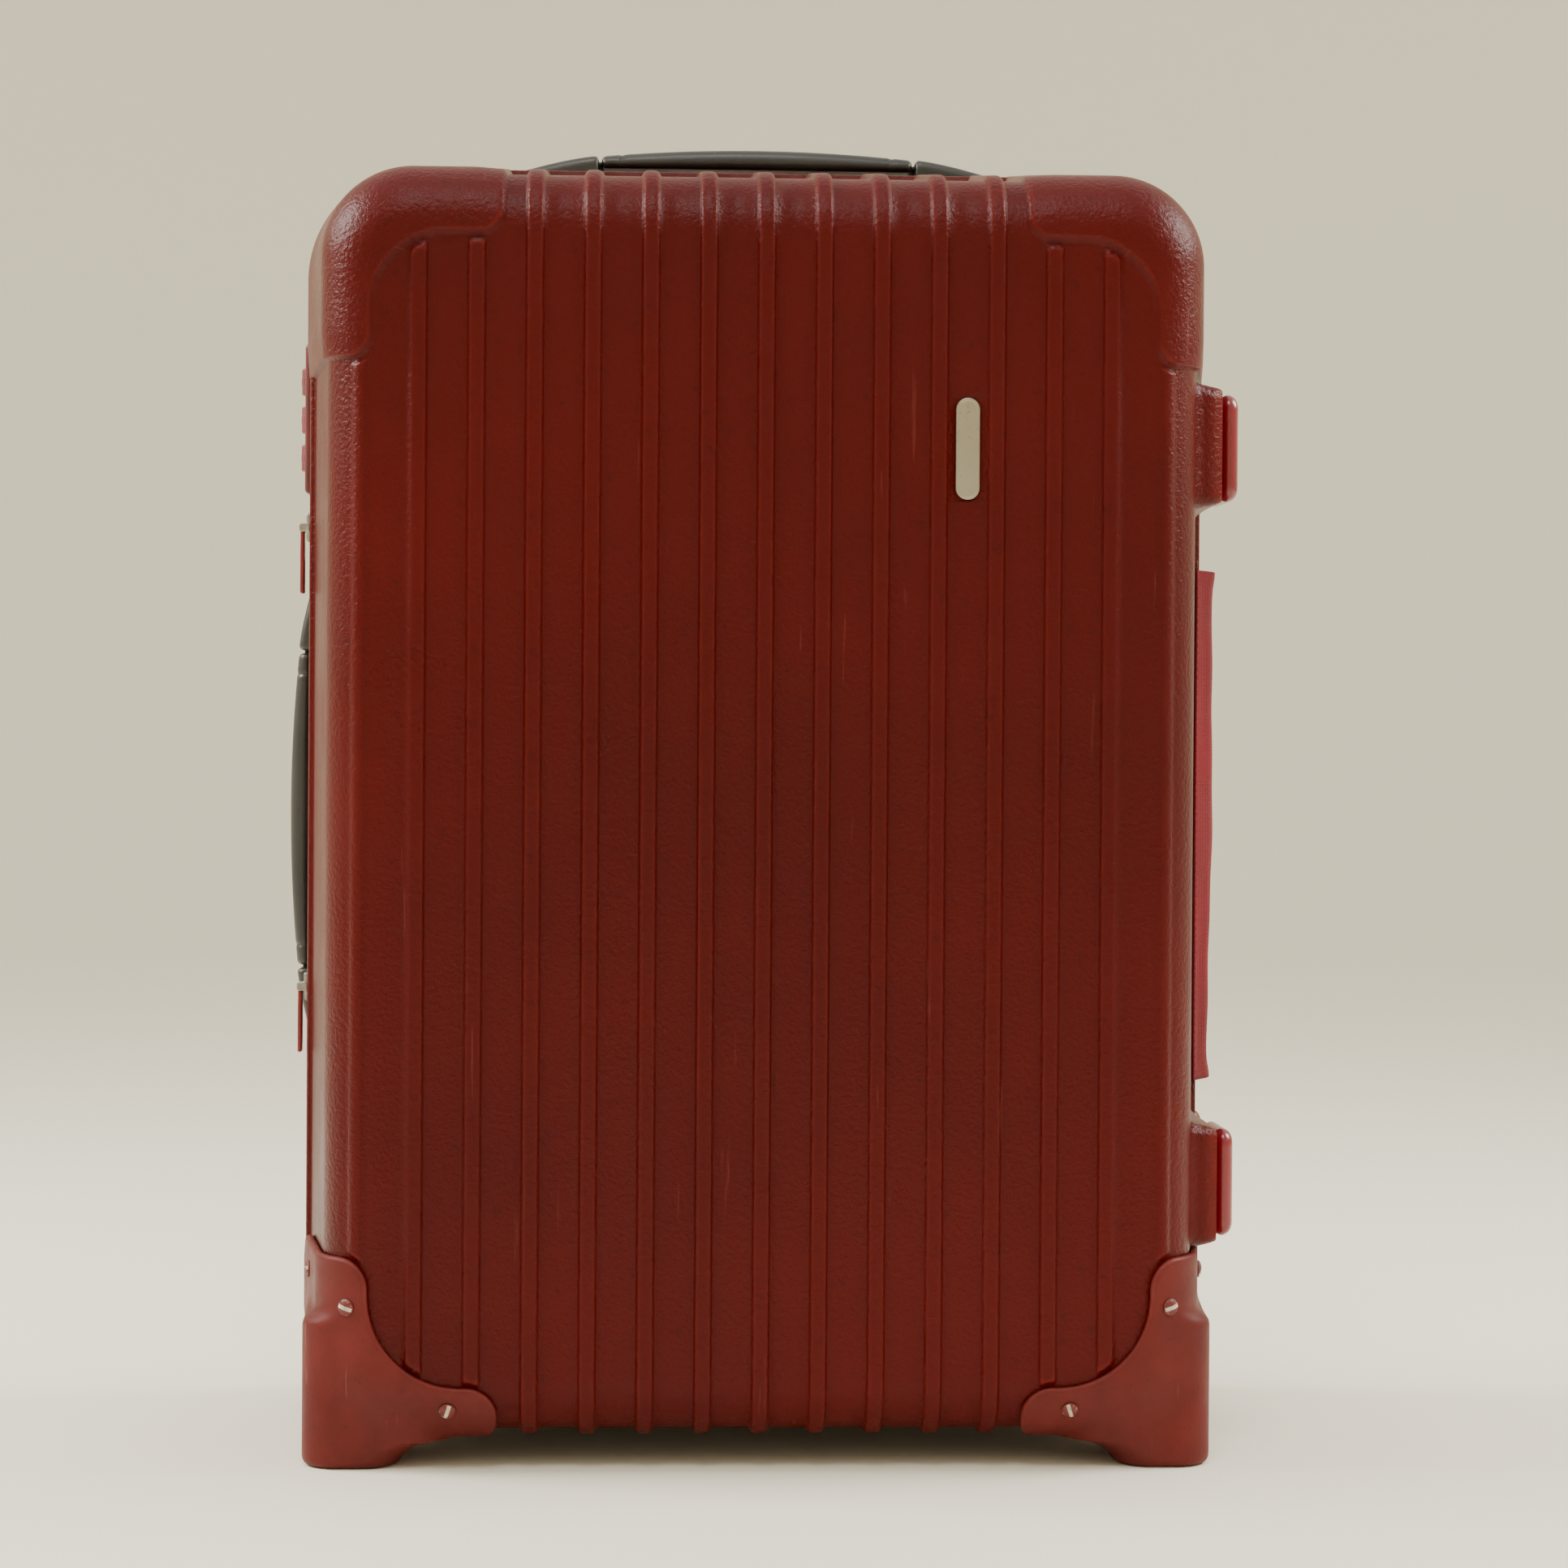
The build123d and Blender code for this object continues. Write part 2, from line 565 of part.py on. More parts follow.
def handle_screws():
    """Two screws up into each lug from inside the case."""
    head_depth = HANDLE_SCREW_RADIUS
    screws = []
    for side in (-1, 1):
        for y in (-STRAP_WIDTH / 2, STRAP_WIDTH / 2):
            x = side * (HANDLE_LENGTH / 2 - (HANDLE_LENGTH - GRIP_LENGTH) / 8)
            shank = Cylinder(HANDLE_SCREW_RADIUS, HANDLE_SCREW_DEPTH + LUG_TIP_HEIGHT)
            shank = Pos(x, y, (LUG_TIP_HEIGHT - HANDLE_SCREW_DEPTH) / 2) * shank
            head = Pos(x, y, -HANDLE_SCREW_DEPTH) * Cylinder(2 * HANDLE_SCREW_RADIUS, head_depth)
            screws.append(shank + head)
    return screws


def on_top(shape):
    """Moves a carry-handle shape to the top seat."""
    return Pos(0, HANDLE_Y, TOP_SEAT_Z) * shape


def on_side(shape):
    """Moves a carry-handle shape to the seat on the left edge."""
    seat = Plane(origin=(SIDE_SEAT_X, HANDLE_Y, SIDE_HANDLE_Z), x_dir=(0, 0, 1), z_dir=(-1, 0, 0))
    return seat * shape


def handle_seat(depth):
    """Flat moulded platform below a carry handle, in the handle's own frame."""
    length = HANDLE_LENGTH + 2 * SEAT_MARGIN
    return block(span(0, length), span(0, HANDLE_WIDTH + 2 * SEAT_MARGIN), (-depth, 0))


# ---------------------------------------------------------------- lock
def lock_block(grow=0.0):
    x = (LOCK_FACE_X - grow, LOCK_FACE_X + LOCK_THICKNESS + grow)
    y = (LOCK_FRONT - grow, LOCK_FRONT + LOCK_DEPTH + grow)
    return block(x, y, span(LOCK_Z, LOCK_HEIGHT + 2 * grow))


def dial_levels():
    """Heights of the dials' middles."""
    return [LOCK_Z + (i - (DIAL_COUNT - 1) / 2) * DIAL_PITCH for i in range(DIAL_COUNT)]


def on_dial_axis(z):
    return Pos(DIAL_AXIS_X, DIAL_AXIS_Y, z)


def dial(z):
    """Ten-sided number wheel."""
    body = extrude(RegularPolygon(DIAL_RADIUS, DIAL_SIDES), DIAL_WIDTH / 2, both=True)
    return on_dial_axis(z) * (body - Cylinder(DIAL_SHAFT_RADIUS + SHAFT_CLEARANCE, DIAL_WIDTH))


def dial_shaft():
    length = DIAL_PITCH * DIAL_COUNT + FITTING_GAP
    return on_dial_axis(LOCK_Z) * Cylinder(DIAL_SHAFT_RADIUS, length)


def on_lock_face(z):
    """Plane on the lock's face at the controls: local Z points out of the case, local X up."""
    origin = (LOCK_FACE_X, LOCK_FRONT + LOCK_CONTROL_INSET, LOCK_Z + z)
    return Plane(origin=origin, x_dir=(0, 0, 1), z_dir=(-1, 0, 0))


def release_slide():
    knob = block(span(0, RELEASE_LENGTH), span(0, RELEASE_WIDTH), (-RELEASE_DEPTH, RELEASE_PROUD))
    return on_lock_face(RELEASE_Z) * knob


def key_cylinder():
    plug = Cylinder(KEY_RADIUS, KEY_DEPTH + KEY_PROUD, align=(Align.CENTER, Align.CENTER, Align.MIN))
    keyhole = block(span(0, KEY_RADIUS), span(0, SLOT_WIDTH), (KEY_DEPTH / 2, FAR))
    return on_lock_face(KEY_Z) * (Pos(0, 0, -KEY_DEPTH) * (plug - keyhole))


def lock_body():
    """Lock case with a well for each dial, a shaft bore, a release slot and a bore for the key cylinder."""
    body = lock_block()
    body = fillet(body.faces().sort_by(Axis.X)[0].edges(), LOCK_ROUND)
    for z in dial_levels():
        well = Cylinder(DIAL_RADIUS + DIAL_CLEARANCE, DIAL_WIDTH + 2 * DIAL_CLEARANCE)
        body -= on_dial_axis(z) * well
    body -= dial_shaft()
    gap = DIAL_CLEARANCE / 2
    slot_x = (-RELEASE_LENGTH / 2 - RELEASE_TRAVEL - gap, RELEASE_LENGTH / 2 + gap)
    slot = block(slot_x, span(0, RELEASE_WIDTH + 2 * gap), (-RELEASE_DEPTH - gap, FAR))
    body -= on_lock_face(RELEASE_Z) * slot
    bore = Cylinder(KEY_RADIUS + SHAFT_CLEARANCE, 2 * KEY_DEPTH)
    return body - on_lock_face(KEY_Z) * (Pos(0, 0, -SHAFT_CLEARANCE) * bore)


# ---------------------------------------------------------------- wheels, on the +X side
def on_axle(shape):
    return Pos(WHEEL_X, WHEEL_Y, WHEEL_Z) * (Rot(0, 90, 0) * shape)


def tyre():
    body = fillet(Cylinder(TYRE_RADIUS, TYRE_WIDTH).edges(), TYRE_ROUND)
    return on_axle(body - Cylinder(WHEEL_RIM_RADIUS, TYRE_WIDTH))


def wheel_hub():
    """Rim, web and hub in one moulding, with a seat for a bearing at each end."""
    rim = Cylinder(WHEEL_RIM_RADIUS, TYRE_WIDTH) - Cylinder(WHEEL_RIM_INNER, TYRE_WIDTH)
    hub = Cylinder(WHEEL_HUB_RADIUS, TYRE_WIDTH) + Cylinder(WHEEL_RIM_INNER, WHEEL_WEB)
    body = rim + hub - Cylinder(AXLE_RADIUS + HUB_CLEARANCE, TYRE_WIDTH)
    for side in (-1, 1):
        body -= Pos(0, 0, side * (TYRE_WIDTH - BEARING_WIDTH) / 2) * Cylinder(BEARING_RADIUS, BEARING_WIDTH)
    return on_axle(body)


def wheel_bearings():
    ring = Cylinder(BEARING_RADIUS, BEARING_WIDTH) - Cylinder(AXLE_RADIUS + AXLE_CLEARANCE, BEARING_WIDTH)
    places = [side * (TYRE_WIDTH - BEARING_WIDTH) / 2 for side in (-1, 1)]
    return group(on_axle(Pos(0, 0, z) * ring) for z in places)


def housing_half_width():
    return TYRE_WIDTH / 2 + WHEEL_SIDE_GAP + CHEEK_WIDTH


def wheel_axle():
    half = housing_half_width()
    pin = Cylinder(AXLE_RADIUS, 2 * half)
    for side in (-1, 1):
        pin += Pos(0, 0, side * (half - AXLE_HEAD / 2)) * Cylinder(AXLE_HEAD_RADIUS, AXLE_HEAD)
    return on_axle(pin)


def housing_block(grow=0.0):
    """Space that one wheel housing takes inside the back half."""
    arch = TYRE_RADIUS + WHEEL_ARCH_GAP + HOUSING_WALL + grow
    x = span(WHEEL_X, 2 * (housing_half_width() + grow))
    return block(x, (WHEEL_Y - arch, FAR / 2), (-FAR, WHEEL_Z + arch))


def wheel_housing():
    """Plastic corner with a cavity for the wheel and two cheeks that hold the axle."""
    half = housing_half_width()
    corner = housing_block() & to_back(half_body(BACK_DEPTH, HOUSING_PROUD))
    cheek = Circle(CHEEK_RADIUS) + Pos(0, CHEEK_RADIUS) * Rectangle(2 * CHEEK_RADIUS, 2 * CHEEK_RADIUS)
    across = Plane(origin=(WHEEL_X - half, WHEEL_Y, WHEEL_Z), x_dir=(0, 1, 0), z_dir=(1, 0, 0))
    cheeks = extrude(across * cheek, 2 * half)
    cavity_radius = TYRE_RADIUS + WHEEL_ARCH_GAP
    cavity_width = TYRE_WIDTH + 2 * WHEEL_SIDE_GAP
    cavity = on_axle(Cylinder(cavity_radius, cavity_width))
    below = block(span(WHEEL_X, cavity_width), span(WHEEL_Y, 2 * cavity_radius), (-FAR, WHEEL_Z))
    behind = block(span(WHEEL_X, cavity_width), (WHEEL_Y, FAR), (-FAR, WHEEL_Z + cavity_radius))
    return corner + cheeks - cavity - below - behind - wheel_axle()


def housing_screws():
    """Two screws through the housing's front wall into the shell floor, on the +X side."""
    screws = []
    arch = TYRE_RADIUS + WHEEL_ARCH_GAP + HOUSING_WALL
    for x in span(WHEEL_X, housing_half_width()):
        head = Cylinder(2 * HANDLE_SCREW_RADIUS, HANDLE_SCREW_RADIUS)
        shank = Pos(0, 0, -HANDLE_SCREW_RADIUS * 2) * Cylinder(HANDLE_SCREW_RADIUS, 3 * HANDLE_SCREW_RADIUS)
        screws.append(Pos(x, TUBE_Y - FITTING_GAP, WHEEL_Z + arch) * (head + shank))
    return screws


# ---------------------------------------------------------------- trolley handle
def both_tubes(shape):
    """The same shape at both tube places."""
    return [Pos(side * TUBE_SPACING / 2, TUBE_Y, 0) * shape for side in (-1, 1)]


def tube(inset, low, high, wall=TUBE_WALL):
    """Rounded rectangular tube along Z, smaller all round than the outer tube by inset."""
    corner = TUBE_CORNER - inset * 0.5
    outline = RectangleRounded(TUBE_WIDTH - 2 * inset, TUBE_DEPTH - 2 * inset, corner)
    if wall:
        hole_width = TUBE_WIDTH - 2 * (inset + wall)
        outline -= RectangleRounded(hole_width, TUBE_DEPTH - 2 * (inset + wall), corner - wall * 0.5)
    return Pos(0, 0, low) * extrude(outline, high - low)


def tube_step():
    """How much smaller each tube is than the one around it."""
    return TUBE_WALL + TUBE_CLEARANCE


def trolley_grip_box(low, high):
    """A slice of the grip between two heights above its underside."""
    base = TROLLEY_FLOOR_Z + TROLLEY_GRIP_GAP
    plan = RectangleRounded(TROLLEY_GRIP_WIDTH, TROLLEY_GRIP_DEPTH, TROLLEY_GRIP_DEPTH / 2 - 1)
    return Pos(0, TUBE_Y, base + low) * extrude(plan, high - low)


def button_block(grow, low_gap, high_gap):
    top = TROLLEY_FLOOR_Z + TROLLEY_GRIP_GAP + TROLLEY_GRIP_HEIGHT
    plan = RectangleRounded(BUTTON_LENGTH + 2 * grow, BUTTON_WIDTH + 2 * grow, BUTTON_WIDTH / 3)
    height = BUTTON_DEPTH + low_gap + high_gap
    return Pos(0, TUBE_Y, top - BUTTON_DEPTH - low_gap) * extrude(plan, height)


def inner_tube_top():
    return TROLLEY_FLOOR_Z + TROLLEY_GRIP_GAP + GRIP_SOCKET


def grip_sockets():
    """Ends of the inner tubes as solid bars, for cutting the grip."""
    bars = both_tubes(tube(2 * tube_step(), TROLLEY_FLOOR_Z, inner_tube_top(), wall=0))
    return bars[0] + bars[1]


def trolley_grip_lower():
    return trolley_grip_box(0, TROLLEY_GRIP_SPLIT) - grip_sockets()


def trolley_grip_upper():
    top = trolley_grip_box(TROLLEY_GRIP_SPLIT, TROLLEY_GRIP_HEIGHT)
    top = fillet(top.edges().group_by(Axis.Z)[-1], TROLLEY_GRIP_ROUND)
    well = button_block(BUTTON_CLEARANCE, BUTTON_TRAVEL + BUTTON_CLEARANCE, FAR)
    return top - grip_sockets() - well


def grip_button():
    return button_block(0, 0, BUTTON_PROUD)


def recess_x():
    return TROLLEY_GRIP_WIDTH / 2 + TROLLEY_GRIP_GAP


def trolley_block(grow=0.0):
    """Space that the trolley housing takes in the top of the back half."""
    half = recess_x() + TROLLEY_WALL + grow
    near = TUBE_Y - TROLLEY_GRIP_DEPTH / 2 - TROLLEY_GRIP_GAP - TROLLEY_WALL - grow
    low = TROLLEY_FLOOR_Z - TROLLEY_FLOOR_WALL - grow
    return block((-half, half), (near, FAR / 2), (low, FAR * 2))


def trolley_housing():
    """Plastic cup that the grip sinks into, open at the top and the back."""
    cup = trolley_block() & to_back(half_body(BACK_DEPTH, HOUSING_PROUD))
    near = TUBE_Y - TROLLEY_GRIP_DEPTH / 2 - TROLLEY_GRIP_GAP
    recess = block((-recess_x(), recess_x()), (near, FAR), (TROLLEY_FLOOR_Z, FAR * 2))
    cup -= recess
    for hole in both_tubes(tube(-TUBE_CLEARANCE / 2, TUBE_FOOT_Z, TROLLEY_FLOOR_Z + 1, wall=0)):
        cup -= hole
    return cup


def outer_tubes():
    return both_tubes(tube(0, TUBE_FOOT_Z, TROLLEY_FLOOR_Z - FITTING_GAP))


def middle_tubes():
    top = TROLLEY_FLOOR_Z - FITTING_GAP + TUBE_STAGGER
    return both_tubes(tube(tube_step(), top - MIDDLE_TUBE_LENGTH, top))


def inner_tubes():
    return both_tubes(tube(2 * tube_step(), inner_tube_top() - INNER_TUBE_LENGTH, inner_tube_top()))


def tube_foot_bracket():
    """Cross bar that holds the lower ends of the outer tubes against the back wall."""
    half = TUBE_SPACING / 2 + TUBE_WIDTH / 2 + FOOT_BRACKET_MARGIN / 2
    near = TUBE_Y - TUBE_DEPTH / 2 - FITTING_GAP
    z = (TUBE_FOOT_Z - WALL, TUBE_FOOT_Z + FOOT_BRACKET_HEIGHT)
    bar = block((-half, half), (near, BACK_DEPTH), z) & to_back(half_body(BACK_DEPTH, -WALL))
    for hole in both_tubes(tube(0, TUBE_FOOT_Z, FAR, wall=0)):
        bar -= hole
    return bar


# ---------------------------------------------------------------- inside of the case
def tube_board():
    """Stiff board in front of the trolley tubes."""
    low = TUBE_FOOT_Z + FOOT_BRACKET_HEIGHT
    room = to_back(half_body(BACK_DEPTH, -WALL - LINING_GAP))
    board = room & block((-FAR, FAR), (LINING_FLOOR_Y, BOARD_Y), (low, TROLLEY_FLOOR_Z + FAR))
    return board - trolley_block(FITTING_GAP) - both_housing_blocks(FITTING_GAP)


def both_housing_blocks(grow):
    one = housing_block(grow)
    return one + to_other_side(one)


def back_lining():
    """Cloth tray inside the back half, round the wheel housings and over the tube board."""
    inset = -WALL - LINING_GAP
    near = block((-FAR, FAR), (0, LINING_FLOOR_Y), (-FAR, FAR * 2))
    outside = to_back(half_body(BACK_DEPTH, inset)) & near
    keep_out = both_housing_blocks(FITTING_GAP) + lock_block(FITTING_GAP) + trolley_block(FITTING_GAP)
    hollow_near = block((-FAR, FAR), (-FAR, LINING_FLOOR_Y - LINING_THICKNESS), (-FAR, FAR * 2))
    hollow = to_back(half_body(BACK_DEPTH, inset - LINING_THICKNESS)) & hollow_near
    round_fittings = FITTING_GAP + LINING_THICKNESS
    walls_out = both_housing_blocks(round_fittings) + trolley_block(round_fittings)
    return outside - keep_out - (hollow - walls_out)


def front_lining():
    """Cloth tray inside the front half."""
    inset = -WALL - LINING_GAP
    return half_body(FRONT_DEPTH, inset) - half_body(FRONT_DEPTH, inset - LINING_THICKNESS)


def packing_strap(corner_x, corner_z):
    """Webbing strap from the buckle out to one corner of the back half, flat on the lining."""
    line = Line((0, MIDDLE_Z), (corner_x, MIDDLE_Z + corner_z))
    web = Pos(line @ 0.5) * (Rot(0, 0, line.tangent_angle_at(0)) * Rectangle(line.length, STRAP_WEB_WIDTH))
    near = LINING_FLOOR_Y - LINING_THICKNESS - STRAP_WEB_THICKNESS
    strap = extrude(facing_front(-near - STRAP_WEB_THICKNESS) * web, STRAP_WEB_THICKNESS)
    return strap - buckle_block()


def packing_straps():
    """One strap to each corner."""
    return [
        packing_strap(side * STRAP_END_X, rise * STRAP_END_RISE) for side in (-1, 1) for rise in (-1, 1)
    ]


def buckle_block():
    top = LINING_FLOOR_Y - LINING_THICKNESS
    return block(span(0, BUCKLE_LENGTH * 2), (top - BUCKLE_THICKNESS, top), span(MIDDLE_Z, BUCKLE_WIDTH))


def buckle_half(side):
    """One half of the snap buckle; the two meet at the middle."""
    return buckle_block() & block(sorted((0, side * FAR)), (-FAR, FAR), (-FAR, FAR * 2))


def lid_pocket():
    """Flat mesh pocket on the front lining."""
    back = FRONT_DEPTH - WALL - LINING_GAP - LINING_THICKNESS
    y = (-back, -back + POCKET_THICKNESS)
    return block(span(0, POCKET_WIDTH), y, span(MIDDLE_Z, POCKET_HEIGHT))


# ---------------------------------------------------------------- the two shells, cut for what they carry
def capped_shell(depth):
    """A bare shell whose ribs stop at the raised corner caps."""
    room = half_body(depth)
    caps = (half_body(depth, CAP_PROUD) - room) & cap_prism()
    over_caps = (half_body(depth, RIB_PROUD) - room) & cap_prism()
    return bare_shell(depth) - over_caps + caps


def front_shell(screws):
    """Front half shell, flat under the boots and the badge."""
    boot_room = (half_body(FRONT_DEPTH, RIB_PROUD) - half_body(FRONT_DEPTH)) & boot_prism(BOOT_GAP)
    boot_room &= block((-FAR, FAR), (-FAR, -BOOT_BACK + BOOT_GAP), (-FAR, FAR))
    shell = capped_shell(FRONT_DEPTH) - boot_room - badge(BADGE_THICKNESS, BADGE_MARGIN)
    return shell - screws


def back_shell(screws):
    """Back half shell with flat seats for the carry handles and openings for wheels, trolley and lock."""
    inside = to_back(half_body(BACK_DEPTH, -WALL))
    shell = to_back(capped_shell(BACK_DEPTH))
    for place in (on_top, on_side):
        shell += place(handle_seat(HANDLE_WIDTH)) - inside
        shell -= place(Pos(0, 0, HANDLE_WIDTH) * handle_seat(HANDLE_WIDTH))
    return shell - both_housing_blocks(0) - trolley_block() - lock_block() - screws


def main():
    os.makedirs("parts", exist_ok=True)

    face_screws = boot_screws()
    handle_fixings = [on_top(s) for s in handle_screws()] + [on_side(s) for s in handle_screws()]
    lugs = [handle_lug(), to_other_side(handle_lug())]
    floor_screws = housing_screws()
    floor_screws += [to_other_side(s) for s in floor_screws]
    pads = [pad(z) for z in (PAD_LOW_Z, PAD_HIGH_Z)]
    left_boot = boot() - face_screws
    housing = wheel_housing() - floor_screws

    save(front_shell(face_screws), "front_shell")
    save(back_shell(handle_fixings), "back_shell")

    # Front half
    save(left_boot, "boot_left")
    save(to_other_side(left_boot), "boot_right")
    save(group(face_screws), "boot_screws")
    save(badge(BADGE_THICKNESS, 0), "badge_plate")
    save(group(pads), "front_bumper_feet")
    save(zip_tape(), "front_zip_tape")
    save(hinge_flap(), "front_hinge_flap")
    save(front_lining() - face_screws, "front_lining")
    save(lid_pocket(), "lid_pocket")
    save(hinge_gusset(), "hinge_gusset")

    # Back half
    save(to_back(zip_tape()), "back_zip_tape")
    save(to_back(hinge_flap()), "back_hinge_flap")
    save(group(to_back(p) for p in pads), "back_bumper_feet")
    save(back_lining() - handle_fixings, "back_lining")
    save(tube_board(), "tube_board")
    save(group(packing_straps()), "packing_straps")
    save(buckle_half(-1), "buckle_socket")
    save(buckle_half(1), "buckle_tongue")

    # Zip sliders
    for name, z in (("lower", LOWER_SLIDER_Z), ("upper", UPPER_SLIDER_Z)):
        save(zip_slider(z), f"zip_slider_{name}")
        save(zip_pull(z), f"zip_pull_{name}")

    # Carry handles
    for name, place in (("top", on_top), ("side", on_side)):
        own_screws = [place(s) for s in handle_screws()]
        save(group(place(lug) - own_screws for lug in lugs), f"{name}_handle_ends")
        save(place(handle_grip()), f"{name}_handle_grip")
        save(place(handle_strap()), f"{name}_handle_strap")
    save(group(handle_fixings), "handle_screws")

    # Lock
    save(lock_body(), "lock_body")
    save(dial_shaft(), "dial_shaft")
    save(release_slide(), "lock_release")
    save(key_cylinder(), "key_cylinder")
    for number, z in enumerate(dial_levels(), start=1):
        save(dial(z), f"dial_{number}")

    # Wheels
    save(group(floor_screws), "housing_screws")
    save(group([wheel_axle(), to_other_side(wheel_axle())]), "wheel_axles")
    for name, place in (("left", to_other_side), ("right", lambda shape: shape)):
        save(place(housing), f"wheel_housing_{name}")
        save(place(tyre()), f"tyre_{name}")
        save(place(wheel_hub()), f"wheel_hub_{name}")
        save(place(wheel_bearings()), f"wheel_bearings_{name}")

    # Trolley handle
    save(trolley_housing(), "trolley_housing")
    save(tube_foot_bracket(), "tube_foot_bracket")
    save(group(outer_tubes()), "outer_tubes")
    save(group(middle_tubes()), "middle_tubes")
    save(group(inner_tubes()), "inner_tubes")
    save(trolley_grip_lower(), "trolley_grip_lower")
    save(trolley_grip_upper(), "trolley_grip_upper")
    save(grip_button(), "trolley_button")


main()
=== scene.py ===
"""Looks of a hard shell suitcase on wheels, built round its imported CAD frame. Metres, +Z up, front towards -Y."""

import itertools
import math

import bmesh
import bpy
import numpy as np
from mathutils import Matrix, Vector


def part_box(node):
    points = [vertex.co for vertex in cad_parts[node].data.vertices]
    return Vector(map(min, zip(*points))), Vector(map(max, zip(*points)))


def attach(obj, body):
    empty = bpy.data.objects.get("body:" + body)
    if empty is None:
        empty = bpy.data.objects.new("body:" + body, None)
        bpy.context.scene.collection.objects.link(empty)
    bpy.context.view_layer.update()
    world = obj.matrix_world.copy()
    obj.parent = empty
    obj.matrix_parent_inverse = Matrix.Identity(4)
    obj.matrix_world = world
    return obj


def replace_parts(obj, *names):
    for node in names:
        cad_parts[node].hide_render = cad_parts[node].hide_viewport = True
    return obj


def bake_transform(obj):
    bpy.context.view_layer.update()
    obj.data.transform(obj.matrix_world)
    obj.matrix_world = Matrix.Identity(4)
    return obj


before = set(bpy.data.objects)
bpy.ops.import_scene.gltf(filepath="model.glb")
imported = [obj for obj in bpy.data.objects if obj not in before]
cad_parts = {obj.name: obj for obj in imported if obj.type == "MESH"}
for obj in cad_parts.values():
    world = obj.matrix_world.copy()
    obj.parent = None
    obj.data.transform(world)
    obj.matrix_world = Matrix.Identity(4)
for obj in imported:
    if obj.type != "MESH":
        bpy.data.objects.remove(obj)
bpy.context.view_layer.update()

# ---------------------------------------------------------------- sizes of the shells
SHELL_LIP = 0.0045  # parting plane to each shell's rim
BEAD_PROUD = 0.002
BEAD_MIDDLE = 0.0062
RIM_CORNER = 0.046
FACE_CORNER = 0.031
EDGE_RADIUS = 0.026
BOTTOM_SLOPE = 0.035
WALL = 0.002
RIB_COUNT = 13
RIB_PITCH = 0.02315
RIB_HALF = 0.0037
RIB_PROUD = 0.0024
EDGE_RIDGE_X = 0.162
EDGE_RIDGE_HALF = 0.0032
EDGE_RIDGE_PROUD = 0.0014
CORNER_REACH = 0.105  # how near the middle the raised caps and the boots come
CORNER_COLUMN = 0.157
CAP_ROUNDS = (0.009, 0.030)  # radius of the arm tips and of the inner corner
BOOT_ROUNDS = (0.013, 0.037)
CAP_PROUD = 0.0030
CAP_CREASE = 0.0009
BOOT_CREASE = 0.0017
CAP_BAR = 0.038
CAP_LENGTH = 0.088
BOOT_PROUD = 0.0033
BOOT_GAP = 0.0003
BOOT_UNDERSIDE = 0.0080
BOOT_BAR = 0.034
BOOT_BACK = 0.015
FOOT_SIDES = (0.1445, 0.1845)
FOOT_ENDS = (-0.092, -0.040)
FOOT_ROUND = 0.015
FOOT_FLARE = (0.022, 0.011)  # how far the column spreads under the arm, and how high
PAD_HALF_HEIGHT = 0.0225
SWELL_SOFT = 0.0035
SWELL_MARGIN = (0.011, 0.004)  # moulding left round each bumper foot, in depth and height
SEAT_SOFT = 0.0015
FINE = 0.0012  # mesh spacing where an outline crosses the shell
COARSE = 0.006

# ---------------------------------------------------------------- small fittings
SCREW_RADIUS = 0.0036
SCREW_HEIGHT = 0.0018
SLOT_HALF = 0.0005
TOOTH_PITCH = 0.0022
STITCH_PITCH = 0.0034
STITCH_LENGTH = 0.0024
THREAD_RADIUS = 0.00035
CLOTH = 0.0011
GUSSET_BULGE = 0.0038

# ---------------------------------------------------------------- camera and stage
FLOOR_COLOUR = (0.90, 0.86, 0.73)
CAMERA_PLACE = Vector((-0.0555, -1.5, 0.2875))
CAMERA_TURN = math.radians(2.594)
CAMERA_TILT = math.radians(-0.467)
CAMERA_ROLL = math.radians(-0.38)
SENSOR = 36.0
LENS = 80.5


# ---------------------------------------------------------------- mesh helpers
def quad_mesh(name, points, quads):
    """A mesh from an array of points and an array of four-cornered faces."""
    mesh = bpy.data.meshes.new(name)
    mesh.vertices.add(len(points))
    mesh.vertices.foreach_set("co", np.asarray(points, np.float32).ravel())
    mesh.loops.add(4 * len(quads))
    mesh.loops.foreach_set("vertex_index", np.asarray(quads, np.int32).ravel())
    mesh.polygons.add(len(quads))
    mesh.polygons.foreach_set("loop_start", np.arange(len(quads), dtype=np.int32) * 4)
    mesh.update(calc_edges=True)
    return mesh


def add_piece(name, mesh, material, body, sharp=None):
    """Puts a mesh in the scene as a piece that rides on a CAD body."""
    piece = bpy.data.objects.new(name, mesh)
    bpy.context.scene.collection.objects.link(piece)
    mesh.materials.clear()
    mesh.materials.append(material)
    mesh.shade_smooth()
    if sharp:
        mesh.set_sharp_from_angle(angle=math.radians(sharp))
    if body:
        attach(piece, body)
    return piece


def weld(mesh, distance=1e-5):
    """Joins points that meet and turns every face outwards."""
    work = bmesh.new()
    work.from_mesh(mesh)
    bmesh.ops.remove_doubles(work, verts=work.verts, dist=distance)
    bmesh.ops.dissolve_degenerate(work, edges=work.edges, dist=distance / 2)
    bmesh.ops.recalc_face_normals(work, faces=work.faces)
    work.to_mesh(mesh)
    work.free()
    return mesh


def grid_quads(across, along, start=0, closed=False):
    """Faces of a grid of points stored row by row."""
    a = np.arange(across if closed else across - 1)[:, None]
    b = np.arange(along - 1)[None, :]
    following = (a + 1) % across
    corners = (a * along + b, a * along + b + 1, following * along + b + 1, following * along + b)
    return start + np.stack([np.broadcast_to(c, (len(a), along - 1)) for c in corners], -1).reshape(-1, 4)


